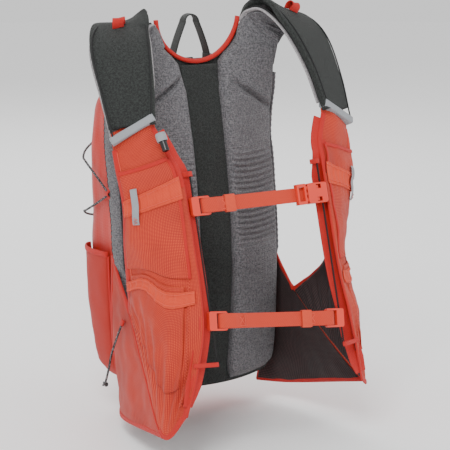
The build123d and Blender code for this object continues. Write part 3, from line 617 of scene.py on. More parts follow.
# seams: the rear panel's two sides and the lid's edge
REAR_LEFT = SIDE_STEPS + CORNER_STEPS // 2
REAR_RIGHT = bag_skin.shape[1] - 1 - REAR_LEFT
for number, column in enumerate((REAR_LEFT, REAR_RIGHT)):
    height = slice(LID_ROWS, LID_ROWS + BAG_ROWS - 6, 3)
    seam = bag_skin[height, column] + bag_normals[height, column] * 0.4
    piping(f"bag_rear_seam_{number}", resample(seam, 120), 1.3, "binding")
lid_row = LID_ROWS + int(BAG_ROWS * 0.86)
piping("bag_lid_seam", bag_skin[lid_row, 4:-4] + bag_normals[lid_row, 4:-4] * 0.3, 1.2, "binding")
bottom_row = LID_ROWS + int(BAG_ROWS * 0.06)
piping("bag_base_seam", bag_skin[bottom_row, 4:-4] + bag_normals[bottom_row, 4:-4] * 0.3, 1.2, "binding")

# ---------------------------------------------------------------- back panel
def panel_limits(z, margin=0.0):
    """Inner and outer edge of the back panel at a height: the neckline and its shoulder."""
    inner = 0.0
    if z > NOTCH_HEIGHT:
        drop = NECK_RADIUS - (z - NOTCH_HEIGHT)
        inner = math.sqrt(max(NECK_RADIUS**2 - drop**2, 0))
    outer = PANEL_HALF_WIDTH - margin
    if z > 190:
        outer = np.interp(z, (190, 252, HORN_TOP), (outer, 118 - margin, HORN_HALF_GAP + 2))
    if z < PANEL_BOTTOM + 40:
        outer -= 16 * (1 - math.sqrt(max(1 - ((PANEL_BOTTOM + 40 - z) / 40) ** 2, 0)))
    return inner, outer


for side_name, side in SIDES:
    rows = []
    for z in np.linspace(PANEL_BOTTOM, HORN_TOP - 1, 90):
        inner, outer = panel_limits(z)
        x = np.linspace(inner, outer, 24)
        rows.append(np.stack([side * x, panel_y(x, z) + 6.2, np.full_like(x, z)], axis=1))
    stands = ("back_panel_sheet",) if side < 0 else ()
    half_panel = cloth(f"back_panel_{side_name}", rows, (0, -1, 0), 2.4, "charcoal", stands_for=stands)

SPINE_HALF = 25
SPINE_FOOT = 19
DOT_PITCH = 7.0
RIB_PITCH = 8.2
rows = []
for z in np.linspace(PANEL_BOTTOM + 4, NOTCH_HEIGHT - 3, 130):
    half = np.interp(z, (PANEL_BOTTOM, -60, 120, NOTCH_HEIGHT),
                     (SPINE_FOOT, SPINE_HALF, SPINE_HALF + 1, SPINE_HALF + 5))
    x = np.linspace(-half, half, 26)
    crown = 1.2 * (1 - (x / half) ** 2)
    rows.append(np.stack([x, panel_y(x, z) + 1.4 - crown, np.full_like(x, z)], axis=1))
spine_grid = np.array(rows)
spine = cloth("spine_strip", spine_grid, (0, -1, 0), 4.5, "charcoal", stands_for=("spine_panel",))

PAD_IN = 26
PAD_TOP = 276


def pad_face(side):
    """The front of one knit pad: crowned, grooved and creased like quilted foam."""
    rows = []
    for v in np.linspace(0, 1, 420):
        z = PANEL_BOTTOM + 6 + v * (PAD_TOP - PANEL_BOTTOM - 6)
        inner, outer = panel_limits(z, 3)
        foot = max(0, (PANEL_BOTTOM + 46 - z) / 40)
        start = np.interp(z, (PANEL_BOTTOM, -60, 120, 200), (21, PAD_IN, PAD_IN, PAD_IN + 1))
        start = max(start + 10 * foot**3, inner + 5 if z > NOTCH_HEIGHT - 20 else start)
        if z > NOTCH_HEIGHT - 40:
            start = max(start, np.interp(z, (NOTCH_HEIGHT - 40, NOTCH_HEIGHT, PAD_TOP), (PAD_IN + 1, 34, 66)))
        end = max(outer - 8 * foot**2, start + 6)
        u = np.linspace(0, 1, 96)
        x = start + (end - start) * u
        edge = np.clip(np.minimum(u, 1 - u) * (end - start) / 12, 0, 1)
        tip = min(1, min(v, 1 - v) * 40)
        crown = 5 + 13 * np.sqrt(np.maximum(1 - (1 - edge) ** 2, 0)) * tip
        hollow = 2.5 * np.exp(-(((z - 40) / 60) ** 2)) * np.sin(math.pi * u)
        groove = np.clip((z + 40) / 30, 0, 1) * np.clip((120 - z) / 30, 0, 1)
        ripple = 2.3 * groove * np.maximum(np.sin(2 * math.pi * (z + 4 * np.sin(3 * u)) / RIB_PITCH), -0.55) * edge
        fold_line = 220 - 62 * u
        fold_middle = 0.6 if side > 0 else 0.36
        reach = np.clip(np.minimum(u, 1 - u) / 0.12, 0, 1) * np.clip(1.3 - np.abs(u - fold_middle) * 2.6, 0, 1)
        fold = -9.0 * np.exp(-(((z - fold_line) / 4.2) ** 2)) * reach
        fold += 3.0 * np.exp(-(((z - fold_line - 10) / 7.0) ** 2)) * reach
        lower = -2.6 * np.exp(-(((z + 170 + 30 * u) / 5.0) ** 2)) * edge
        dots = (np.sin(2 * math.pi * z / DOT_PITCH) > 0.2) * (np.sin(2 * math.pi * x / DOT_PITCH) > 0.2)
        dots = np.clip((-25 - z) / 20, 0, 1) * dots
        y = panel_y(x, z) + 8 - crown + hollow - ripple - fold - lower + 0.8 * dots * edge
        rows.append(np.stack([side * x, y, np.full_like(x, z)], axis=1))
    grid = np.array(rows)
    grid[..., 1] += rough(grid, 26, 5 + side) * 0.9
    return grid


for side_name, side in SIDES:
    grid = pad_face(side)
    back = grid.copy()
    back[..., 1] = panel_y(np.abs(grid[..., 0]), grid[..., 2]) + 6.1
    pad = shell(f"knit_pad_{side_name}", grid, back, side > 0, "pad", stands_for=(f"back_pad_{side_name}",))

neck_x = np.linspace(-HORN_HALF_GAP - 2, HORN_HALF_GAP + 2, 90)
neck_line = np.stack([neck_x, panel_y(neck_x, neckline(neck_x)) + 3.5, neckline(neck_x) + 1.5], axis=1)
strip("neck_binding", neck_line, (0, 1, 0.2), 8.5, 6.5, "binding", stands_for=("neckline_binding",), corner=2.2)

# ---------------------------------------------------------------- shoulder straps


def bump_at(value, middle, width):
    return np.exp(-(((value - middle) / width) ** 2))


STRAP_STEPS = 120
STRAP_THICK = 12
LEFT_SAG = ((0, 0, -3), (-6, 0, -13), (-12, 4, -19), (-8, 2, -12), (-2, 0, -4), (0, 0, 0))


def strap_edges(side):
    inner = np.array(STRAP_INNER, float)
    outer = np.array(STRAP_OUTER, float)
    if side < 0:
        sag = np.array(LEFT_SAG, float)
        inner = inner - (sag[:, :1] * (1, 0, 0)) + sag * (0, 1, 1)
    inner[:, 0] *= side
    outer[:, 0] *= side
    return inner, outer


def edge_lift(grid):
    normals = normals_of(grid, (0, 0, 1))
    middle = grid.shape[0] // 3
    if normals[middle, grid.shape[1] // 2, 2] < 0:
        normals = -normals
    return normals


strap_ends = {}
for side_name, side in SIDES:
    inner, outer = strap_edges(side)
    inner = resample(inner, STRAP_STEPS)
    outer = resample(outer, STRAP_STEPS)
    u = np.linspace(0, 1, 30)[None, :, None]
    base = inner[:, None] * (1 - u) + outer[:, None] * u
    lift = edge_lift(base)
    rise = base + lift * (STRAP_THICK / 2 + 0.6)
    centre = (rise[:, 0] + rise[:, -1]) / 2
    across = rise[:, -1] - rise[:, 0]
    width = np.linalg.norm(across, axis=1)
    strap = strip(f"strap_pad_{side_name}", centre, across, width, STRAP_THICK, "charcoal",
                  stands_for=(f"shoulder_strap_{side_name}",), corner=4.5, around=56)
    under = base - lift * 0.6
    under_centre = (under[:, 2] + under[:, -3]) / 2
    lining = strip(f"strap_knit_{side_name}", under_centre, across, width - 12, 3.6, "ribbed",
                   stands_for=(f"strap_lining_{side_name}",), corner=4, around=40)
    for edge_name, column in (("inner", 0), ("outer", -1)):
        line = base[:, column]
        normal = lift[:, column]
        outward = unit(base[:, column] - base[:, 14])
        piping(f"strap_{edge_name}_upper_piping_{side_name}", line + normal * (STRAP_THICK + 0.2) - outward * 2.2,
               1.1, "piping")
        piping(f"strap_{edge_name}_lower_piping_{side_name}", line + normal * 1.2 - outward * 1.2, 1.1, "piping")
        strip(f"strap_{edge_name}_edge_mesh_{side_name}", line - normal * 2.4 - outward * 2.2, outward, 8.5, 4.2,
              "edge_mesh", corner=2.2)

    strap_ends[side] = base[-4] + lift[-4] * 5
    end_mid = (base[-1, 0] + base[-1, -1]) / 2
    end_side = unit(base[-1, -1] - base[-1, 0])
    end_run = unit(base[-1].mean(axis=0) - base[-8].mean(axis=0))
    normal = lift[-1, 15]
    span = np.linspace(-0.52, 0.52, 24)[:, None] * np.linalg.norm(base[-1, -1] - base[-1, 0])
    band_line = end_mid + end_side * span + normal * (STRAP_THICK / 2 + 0.4) + end_run * 4.5
    strip(f"reflective_tape_{side_name}", band_line, end_run, 11.5, STRAP_THICK + 2.2, "reflective",
          stands_for=(f"reflective_band_{side_name}",), corner=5, around=32)

    tab_row = 48
    spot = base[tab_row, 15] + lift[tab_row, 15] * (STRAP_THICK + 1)
    tab_side = unit(base[tab_row + 3, 15] - base[tab_row - 3, 15])
    tab_across = unit(base[tab_row, -1] - base[tab_row, 0])
    up = lift[tab_row, 15]
    tall = 11
    loop = [spot - tab_side * 4, spot - tab_side * 4.5 + up * tall * 0.6, spot - tab_side * 2 + up * tall,
            spot + tab_side * 2 + up * tall, spot + tab_side * 4.5 + up * tall * 0.6, spot + tab_side * 4]
    strip(f"strap_loop_{side_name}", resample(loop, 30), tab_across, 17, 2.2, "binding",
          stands_for=(f"strap_tab_{side_name}",), corner=5)

# ---------------------------------------------------------------- yokes and pad sides
PAD_SIDE_LOW = -92
PAD_SIDE_HIGH = 214
PAD_SIDE_TUCK = 5.5     # how far its foot is tucked in behind the wing

for side_name, side in SIDES:
    inner, outer = strap_edges(side)
    foot_in = np.array((side * 57, panel_y(60, 262) - 8, 262.0))
    foot_out = np.array((side * 119, panel_y(119, 226) - 5, 226.0))
    row_in = [foot_in, inner[0] + (-side * 4, -9, -4), inner[1] + (side * 3, -9, -6), inner[2] + (side * 4, -4, -9)]
    row_out = [foot_out, outer[0] + (-side * 4, -10, -6), outer[1] + (-side * 9, -9, -8), outer[2] + (-side * 9, -6, -9)]
    row_in = resample(row_in, 70)
    row_out = resample(row_out, 70)
    rows = row_in[:, None] + (row_out - row_in)[:, None] * np.linspace(0, 1, 40)[None, :, None]
    out = normals_of(rows, (0, -1, -0.3))
    u = np.linspace(0, 1, 40)[None]
    v = np.linspace(0, 1, 70)[:, None]
    crown = 5.0 * np.sin(math.pi * u) ** 0.6 - 2.0
    ribs = 1.0 * np.sin(2 * math.pi * v * 9) * np.sin(math.pi * u)
    crease = -4.0 * bump_at(v + 0.2 * u, 0.52, 0.05)
    rows = rows + out * (crown + ribs + crease)[..., None]
    yoke = cloth(f"yoke_{side_name}", rows, (0, -1, -0.3), 5.0, "pad")

    rows = []
    for z in np.linspace(PAD_SIDE_LOW, PAD_SIDE_HIGH, 110):
        _, edge_x = panel_limits(z, 1)
        row = []
        for share in np.linspace(0, 1, 26):
            round_off = math.sin(math.pi * share) ** 0.5
            tuck = np.interp(z, (-66, -50), (PAD_SIDE_TUCK, 0))
            x = edge_x + 1.0 - tuck + (5.0 if side < 0 else 2.0) * round_off
            y = panel_y(edge_x, z) - 5 + 32 * share
            row.append((side * x, y, z))
        rows.append(row)
    grid = np.array(rows)
    grid[..., 0] += side * 0.9 * np.sin(grid[..., 2] * 2 * math.pi / RIB_PITCH) * 0.6
    grid[..., 0] += side * rough(grid, 24, 6 * side) * 0.9
    edging = cloth(f"pad_side_{side_name}", grid, (side, 0, 0), 4.0, "pad")
    seam = grid[:, -1] + np.array((side * 0.8, 0, 0))
    piping(f"pad_side_seam_{side_name}", seam, 1.3, "piping")

# ---------------------------------------------------------------- whistle
WHISTLE_PLACE = np.array((-138, -88, 163.0))
WHISTLE_AXIS = unit(np.array((0.1, -0.5, -0.86)))
turn = np.linspace(0, 2 * math.pi, 40, endpoint=False)
side_a = unit(np.cross(WHISTLE_AXIS, (1, 0, 0)))
side_b = np.cross(WHISTLE_AXIS, side_a)
ring = WHISTLE_PLACE + WHISTLE_AXIS * 6 + (side_a * np.cos(turn)[:, None] + side_b * np.sin(turn)[:, None]) * 6.7
strip("whistle_elastic", ring, WHISTLE_AXIS, 12, 1.6, "reflective", stands_for=("whistle_loop",),
      closed=True)

# ---------------------------------------------------------------- vest fronts
VEST_ACROSS = 60
VEST_ALONG = 190
NOTCH_RISE = 20
TIP_RISE = 22          # the right hanging tip is lifted by this much
TIP_SAG = 10           # and the left one hangs this much lower
UPPER_BAND = (0.268, 0.322)
LOWER_BAND = (0.55, 0.6)
UPPER_GATHER = 0.295
LOWER_GATHER = 0.575
BAND_COLUMNS = 150
CHEST_OUT = np.array((0, -0.956, 0.293))


def vest_rows(side):
    front = np.array(VEST_FRONT_EDGE, float)
    arm = np.array(VEST_ARM_EDGE, float)
    last = len(front) - 1
    waist = (front[VEST_WAIST_ROW], arm[VEST_WAIST_ROW])
    rows = []
    for number in range(last + 1):
        fan = max(0, number - VEST_WAIST_ROW) / (last - VEST_WAIST_ROW)
        row = []
        for step, hem in enumerate(VEST_HEM):
            share = step / 3
            bow = VEST_BELLY * 4 * share * (1 - share) * (1 - fan)
            point = front[number] + (arm[number] - front[number]) * share
            if fan and 0 < share < 1:
                top = waist[0] + (waist[1] - waist[0]) * share
                point = top + (np.array(hem, float) - top) * fan
            row.append(point + np.array((0.6, -0.8, 0)) * bow)
        rows.append(row)
    rows = np.array(rows)
    rows[..., 0] *= side
    for number, share in ((last, 1.0), (last - 1, 0.6), (last - 2, 0.25)):
        rows[number, :3, 2] += np.array((7, TIP_RISE, 9) if side > 0 else (-2, -TIP_SAG, -4)) * share
    for number, share in ((last, 1.0), (last - 1, 0.8), (last - 2, 0.4)):
        rows[number, 2:, 2] += np.array((7, NOTCH_RISE)) * share
    return rows


def vest_surface(side):
    grid = grid_of(vest_rows(side), VEST_ACROSS, VEST_ALONG)
    out = normals_of(grid, (0.6 * side, -0.8, 0))
    u = np.linspace(0, 1, VEST_ACROSS)[None]
    v = np.linspace(0, 1, VEST_ALONG)[:, None]
    edge = np.clip(np.minimum(u, 1 - u) / 0.12, 0, 1)
    upper = 3.2 * bump_at(v, 0.4, 0.06) + 2.2 * bump_at(v, 0.22, 0.05)
    lower = 5.0 * bump_at(v, 0.68, 0.08)
    pinch = -2.2 * bump_at(v, UPPER_GATHER, 0.02) - 2.2 * bump_at(v, LOWER_GATHER, 0.02)
    fan = 2.4 * np.sin(20 * (u - 0.4) / (1.25 - v)) * np.clip((v - 0.6) / 0.2, 0, 1)
    sweep = 1.8 * np.sin(9 * (v + 0.6 * u)) * np.clip((0.62 - v) / 0.1, 0, 1)
    gather = 0.7 * np.sin(u * 58) * (bump_at(v, UPPER_GATHER, 0.035) + bump_at(v, LOWER_GATHER, 0.035))
    soft = rough(grid, 30, 9 + side) * 2.6 + rough(grid, 10, 2 + side) * 0.8
    hem = np.clip((1 - v) / 0.09, 0, 1)
    lift = (upper + lower + pinch + fan + sweep + gather + soft) * edge * hem + 0.4
    return grid + out * lift[..., None], out


def lifted(grid, out, across, along, columns, rows, lift):
    return part_of(grid, across, along, columns, rows) + part_of(out, across, along, columns, rows) * lift


def stitches(name, line, out, width, pitch, material="thread", body=PACK, radius=0.45):
    """A zigzag or, with no width, a straight row of stitches that stands on the cloth."""
    line = even(line, max(int(np.linalg.norm(np.diff(line, axis=0), axis=1).sum() / pitch), 4))
    side = unit(np.cross(unit(np.gradient(line, axis=0)), out))
    swing = np.where(np.arange(len(line)) % 2 == 0, 0.5, -0.5)[:, None] * width
    return piping(name, line + side * swing + np.asarray(out) * 0.35, radius, material, body)


vest = {}
for side_name, side in SIDES:
    outward = np.array((0.6 * side, -0.8, 0))
    grid, out = vest_surface(side)
    vest[side] = (grid, out)
    piece = cloth(f"vest_front_{side_name}", grid, outward, 1.7, "mesh", stands_for=(f"vest_panel_{side_name}",))
    inward = unit(grid[:, 4] - grid[:, 0])
    strip(f"front_binding_{side_name}", grid[:, 0] + inward * 2.4 - out[:, 0] * 0.7, inward, 8.0, 3.6, "binding")
    inward = unit(grid[:, -5] - grid[:, -1])
    strip(f"armhole_binding_{side_name}", grid[:, -1] + inward * 2.4 - out[:, -1] * 0.7, inward, 8.0, 3.6, "binding")
    hem_in = unit(grid[-6] - grid[-1])[:24]
    strip(f"hem_binding_{side_name}", grid[-1, :24] + hem_in * 2.0 - out[-1, :24] * 0.7, hem_in, 7.4, 3.8, "binding")

    # the strip of vest that runs up under the end of the shoulder strap, where it is sewn
    share = np.linspace(0, 1, 14)[:, None, None]
    tongue = resample(strap_ends[side], VEST_ACROSS)[None] * (1 - share) + (grid[3] - out[3] * 0.4)[None] * share
    piece = cloth(f"vest_tongue_{side_name}", tongue, outward, 1.6, "mesh")

    inner = lifted(grid, out, (0.02, 0.98), (0.42, 0.99), 44, 110, -2.6)
    piece = cloth(f"vest_lining_{side_name}", inner, outward, 0.7, "lining_mesh")
    edge = grid[6:-6, 0]
    rail_x = np.clip(np.minimum((118 - edge[:, 2]) / 30, (edge[:, 2] + 190) / 60), 0, 1)[:, None]
    centre = edge + np.array((-side * 4.5, 0, 0)) * rail_x - CHEST_OUT * (1.5 + 7.0 * rail_x)
    placket_width = np.interp(edge[:, 2], (-215, -170), (8, 24))
    strip(f"front_placket_{side_name}", centre, (side, 0, 0), placket_width, 2.2, "binding", corner=5, around=24)

    pocket = lifted(grid, out, (0.1, 0.96), (0.16, 0.5), 46, 70, 2.1)
    piece = cloth(f"upper_pocket_{side_name}", pocket, outward, 1.2, "mesh",
                  stands_for=(f"upper_vest_pocket_{side_name}",))
    mouth = lifted(grid, out, (0.1, 0.96), (0.165, 0.17), 50, 2, 2.6)[0]
    down = unit(pocket[4].mean(axis=0) - pocket[0].mean(axis=0))
    strip(f"upper_pocket_hem_{side_name}", mouth, down, 5.5, 2.2, "binding")
    edge_line = lifted(grid, out, (0.1, 0.104), (0.17, 0.5), 2, 60, 2.6)[:, 0]
    over = unit(pocket[:, 6].mean(axis=0) - pocket[:, 0].mean(axis=0))
    strip(f"upper_pocket_edge_{side_name}", edge_line, over, 4.5, 2.0, "binding")

    pocket = lifted(grid, out, (0.16, 0.9), (0.53, 0.86), 46, 60, 2.1)
    piece = cloth(f"lower_pocket_{side_name}", pocket, outward, 1.2, "mesh",
                  stands_for=(f"lower_vest_pocket_{side_name}",))

    for band_name, along in (("upper", UPPER_BAND), ("lower", LOWER_BAND)):
        band = lifted(grid, out, (0.05, 0.985), along, BAND_COLUMNS, 14, 3.9)
        ripple = 0.7 * np.abs(np.sin(np.linspace(0, 1, BAND_COLUMNS) * math.pi * 17))
        band_out = part_of(out, (0.05, 0.985), along, BAND_COLUMNS, 14)
        band = band + band_out * (ripple - 0.4)[None, :, None]
        piece = cloth(f"{band_name}_elastic_{side_name}", band, outward, 1.5, "elastic",
                      stands_for=(f"{band_name}_elastic_band_{side_name}",))
        for row in (2, -3):
            stitches(f"{band_name}_elastic_seam_{'a' if row > 0 else 'b'}_{side_name}",
                     band[row] + band_out[row] * 0.5, outward, 0, 2.4)

    loop_grid = lifted(grid, out, (0.7, 0.82), (0.24, 0.35), 12, 40, 0.0)
    loop_out = part_of(out, (0.7, 0.82), (0.24, 0.35), 12, 40)
    share = np.linspace(0, 1, 40)
    rise = 3.4 + 3.6 * np.sin(math.pi * share) ** 0.6
    loop_line = loop_grid[:, 6] + loop_out[:, 6] * rise[:, None]
    loop_side = unit(loop_grid[:, -1] - loop_grid[:, 0])
    strip(f"pole_loop_tape_{side_name}", loop_line, loop_side, 9.5, 1.5, "reflective",
          stands_for=(f"pole_loop_{side_name}",), corner=4)
    stitches(f"pole_loop_stitch_{side_name}", loop_line[32:39] + loop_out[32:39, 6] * 1.1, outward, 5, 1.6)

    facing = lifted(grid, out, (0.0, 0.13), (0.3, 0.93), 10, 120, 1.3)
    piece = cloth(f"front_facing_{side_name}", facing, outward, 1.0, "mesh")
    facing_out = part_of(out, (0.0, 0.13), (0.3, 0.93), 10, 120)
    stitches(f"front_zigzag_{side_name}", facing[:, 8] + facing_out[:, 8] * 0.3, outward, 3.2, 2.1)
    stitches(f"armhole_stitch_{side_name}", grid[4:-4, -6] + out[4:-4, -6] * 0.4, outward, 0, 2.6)

# ---------------------------------------------------------------- side wings
for side_name, side in SIDES:
    rows = np.array(WING_ROWS, float)
    rows[..., 0] *= side
    rows[0, :, 2] += np.array((NOTCH_RISE, NOTCH_RISE + 3, NOTCH_RISE + 6))
    rows[1, 0, 2] += 7
    rows[2, :, 2] += np.array((TIP_RISE, 8, 2) if side > 0 else (-TIP_SAG, -4, -1))
    if side > 0:
        rows[1, 0, 2] += 9
    grid = grid_of(rows, 70, 70)
    u = np.linspace(0, 1, 70)[None]
    v = np.linspace(0, 1, 70)[:, None]
    hem_line = vest[side][0][-1]
    places = np.linspace(VEST_ACROSS - 1, (VEST_ACROSS - 1) / 3, 70)
    sewn = np.stack([np.interp(places, np.arange(VEST_ACROSS), hem_line[:, k]) for k in range(3)], axis=1)
    grid = grid + (sewn - grid[:, 0])[:, None] * ((1 - u) ** 2)[..., None]
    out = normals_of(grid, (side, -0.3, 0))
    piping(f"wing_front_seam_{side_name}", sewn + np.array((side * 0.5, -0.4, 0)), 1.3, "binding")
    edge = np.clip(np.minimum(np.minimum(u, 1 - u), np.minimum(v, 1 - v)) / 0.1, 0, 1)
    drape = 1.8 * np.sin(14 * u + 3 * v) * v + rough(grid, 22, 3 * side) * 1.8
    grid = grid + out * (drape * edge)[..., None]
    piece = cloth(f"wing_cloth_{side_name}", grid, (side, -0.3, 0), 1.2, "wing",
                  stands_for=(f"side_wing_{side_name}",))
    inner = grid[1:-1, 1:-1] - out[1:-1, 1:-1] * 1.5
    piece = cloth(f"wing_lining_{side_name}", inner, (side, -0.3, 0), 0.8, "lining_mesh")
    sink = normals_of(grid, (side, -0.3, 0)).mean(axis=(0, 1)) * 0.6
    for edge_name, line, into in (("top", grid[0], grid[6] - grid[0]), ("hem", grid[-1], grid[-7] - grid[-1]),
                                  ("rear", grid[:, -1], grid[:, -7] - grid[:, -1])):
        strip(f"wing_{edge_name}_binding_{side_name}", line + unit(into) * 2 - sink, unit(into), 7.0, 3.8, "binding")

# ---------------------------------------------------------------- chest straps
RAIL_X = 102
RAIL_ORIGIN = np.array((0, -118, 64.0))
FALL = unit(np.array((0, -0.306, -1)))
STRAP_NORMAL = unit(np.array((0, -1, 0.306)))
RAIL_ABOVE = 48
RAIL_BELOW = 212
WEB_WIDTH = 20
LOWER_RISE = -167
LOWER_SLOPE = math.radians(-6)
FOLD_REACH = 90
FOLD_STAND = 4.9


def strap_point(rise, slope, x, y=0.0, z=0.0):
    """A point of a chest strap: x along it, y up the rails, z away from the chest."""
    run = np.array((math.cos(slope), 0, 0)) - FALL * math.sin(slope)
    up = -FALL * math.cos(slope) - np.array((math.sin(slope), 0, 0))
    return RAIL_ORIGIN - FALL * rise + run * x + up * y + STRAP_NORMAL * z


for side_name, side in SIDES:
    count = 2100
    drop = np.linspace(-RAIL_ABOVE + 1, RAIL_BELOW - 1, count)
    spin = drop * 2 * math.pi / 2.6
    core = RAIL_ORIGIN + FALL * drop[:, None] + np.array((side * RAIL_X, 0, 0))
    coil = core + (np.array((1, 0, 0)) * np.cos(spin)[:, None] + STRAP_NORMAL * np.sin(spin)[:, None]) * 0.95
    strip(f"rail_coil_{side_name}", coil, unit(np.cross(np.gradient(coil, axis=0), STRAP_NORMAL)), 1.3, 1.3,
          "piping", stands_for=(f"sternum_rail_{side_name}",), corner=2, around=5)
    piping(f"rail_core_{side_name}", core[::40], 1.0, "piping")
    beside = np.array((side, 0, 0))
    spot = RAIL_ORIGIN - FALL * (RAIL_ABOVE - 3) + beside * RAIL_X
    path = [spot + beside * x + STRAP_NORMAL * z
            for x, z in ((9, -6.5), (4, -2.0), (1.8, 2.2), (-1.8, 2.2), (-4, -2.0), (-7, -6.5))]
    strip(f"rail_tab_top_{side_name}", resample(path, 40), FALL, 7, 1.3, "binding", corner=4)
    spot = RAIL_ORIGIN + FALL * (RAIL_BELOW + 3) + beside * RAIL_X
    hem_edge = vest[side][0][:, 0]
    seam = hem_edge[np.argmin(np.abs(hem_edge[:, 2] - spot[2]))] + beside * 6 - STRAP_NORMAL * 1.5
    path = [seam + STRAP_NORMAL * 0.9, (seam + spot) / 2 + STRAP_NORMAL * 1.6, spot + beside * 2.5 + STRAP_NORMAL * 1.9,
            spot - beside * 1.2, spot + beside * 2.5 - STRAP_NORMAL * 1.9, (seam + spot) / 2 - STRAP_NORMAL * 1.6,
            seam - STRAP_NORMAL * 0.9]
    strip(f"rail_tab_foot_{side_name}", resample(path, 60), FALL, 6, 1.2, "binding", corner=4)


def chest_web(name, body, rise, slope, folded_right, node):
    """Chest webbing that turns round a hook's bar, with its tail lying under it."""
    wave = 1.1
    path = [(-52, -1.9)]
    path += [(-60, -3.0), (-68, -FOLD_STAND), (-78, -FOLD_STAND - 0.2), (-86, -FOLD_STAND), (-FOLD_REACH, -2.6),
             (-FOLD_REACH - 0.8, 0), (-FOLD_REACH, 2.6), (-86, FOLD_STAND), (-78, FOLD_STAND + 0.2), (-68, FOLD_STAND - 0.3),
             (-60, 2.2), (-50, 0.4)]
    path += [(x, wave * math.sin(x / 17) * 0.5) for x in range(-38, 38, 8)]
    if folded_right:
        path += [(50, 0.4), (60, 2.2), (68, FOLD_STAND - 0.3), (78, FOLD_STAND + 0.2), (86, FOLD_STAND), (FOLD_REACH, 2.6),
                 (FOLD_REACH + 0.8, 0), (FOLD_REACH, -2.6), (86, -FOLD_STAND), (78, -FOLD_STAND - 0.2), (68, -FOLD_STAND),
                 (60, -3.0), (52, -1.9)]
    else:
        path += [(48, 0.2), (56, 0), (62, -0.2), (68, -0.2), (72, -0.2)]
    line = np.array([strap_point(rise, slope, x, 0, z) for x, z in path])
    up = strap_point(rise, slope, 0, 1) - strap_point(rise, slope, 0, 0)
    piece = strip(name, resample(line, 260), up, WEB_WIDTH, 1.7, "webbing", body, (node,), corner=6, around=30)
    for x in (-56,) + ((56,) if folded_right else ()):
        box = [(x - 5, -7), (x + 5, -7), (x + 5, 7), (x - 5, 7), (x - 5, -7), (x + 5, 7), (x + 5, -7), (x - 5, 7)]
        corner = np.array([strap_point(rise, slope, a, b, 2.6) for a, b in box])
        seam = np.repeat(corner, 2, axis=0)[:-1] + 1e-4 * np.arange(15)[:, None]
        piping(f"{name}_box_stitch_{'a' if x < 0 else 'b'}", seam, 0.45, "thread", body)


chest_web("upper_chest_web", "upper_strap", 0, 0, False, "upper_webbing")
chest_web("lower_chest_web", "lower_strap", LOWER_RISE, LOWER_SLOPE, True, "lower_webbing")


def keeper_ring(name, body, rise, slope, x, node):
    half = WEB_WIDTH / 2 + 1.3
    ring = [(half, -1.6), (half, 1.6), (half - 1.5, 2.7), (0, 2.9), (1.5 - half, 2.7), (-half, 1.6), (-half, -1.6),
            (1.5 - half, -2.7), (0, -2.9), (half - 1.5, -2.7)]
    line = np.array([strap_point(rise, slope, x, y, z) for y, z in ring])
    line = np.concatenate([line, line[:1]])
    run = strap_point(rise, slope, 1) - strap_point(rise, slope, 0)
    line = even(line, 70)[:-1]
    strip(name, line, run, 16, 1.4, "elastic", body, (node,), closed=True, corner=5, around=20)


keeper_ring("upper_keeper_band", "upper_keeper", 0, 0, -47, "upper_keeper")
keeper_ring("lower_keeper_band", "lower_keeper", LOWER_RISE, LOWER_SLOPE, 47, "lower_keeper")

# ---------------------------------------------------------------- haul loop
HAUL_HALF_GAP = 29
HAUL_ROOT = 246
HAUL_Y = 79
HAUL_TOP = 304
HAUL_TOP_HALF = 11
arc = np.linspace(math.pi, 0, 30)
knee = HAUL_TOP - HAUL_TOP_HALF - 1
rise = np.linspace(0, 1, 18, endpoint=False)
left_leg = [(-HAUL_HALF_GAP + (HAUL_HALF_GAP - HAUL_TOP_HALF) * s**1.3, HAUL_Y,
             HAUL_ROOT - 6 + (knee - HAUL_ROOT + 6) * s) for s in rise]
path = left_leg + [(HAUL_TOP_HALF * math.cos(a), HAUL_Y, knee + HAUL_TOP_HALF * math.sin(a)) for a in arc]
path += [(-x, y, z) for x, y, z in left_leg[::-1]]
path = np.array(path)
narrow = np.interp(path[:, 2], (HAUL_ROOT, knee, HAUL_TOP), (20, 19, 13))
strip("haul_webbing", path, (0, 1, 0), narrow, 2.2, "haul", "haul_loop", ("haul_loop",), corner=5, around=24)
for side_name, side in SIDES:
    root = [(side * HAUL_HALF_GAP, HAUL_Y, z) for z in np.linspace(HAUL_ROOT - 16, HAUL_ROOT - 1, 10)]
    strip(f"haul_root_{side_name}", root, (0, 1, 0), 22, 6, "haul",
          stands_for=("haul_anchor",) if side < 0 else (), corner=5)

# ---------------------------------------------------------------- compression cord
CORD_RADIUS = 1.6


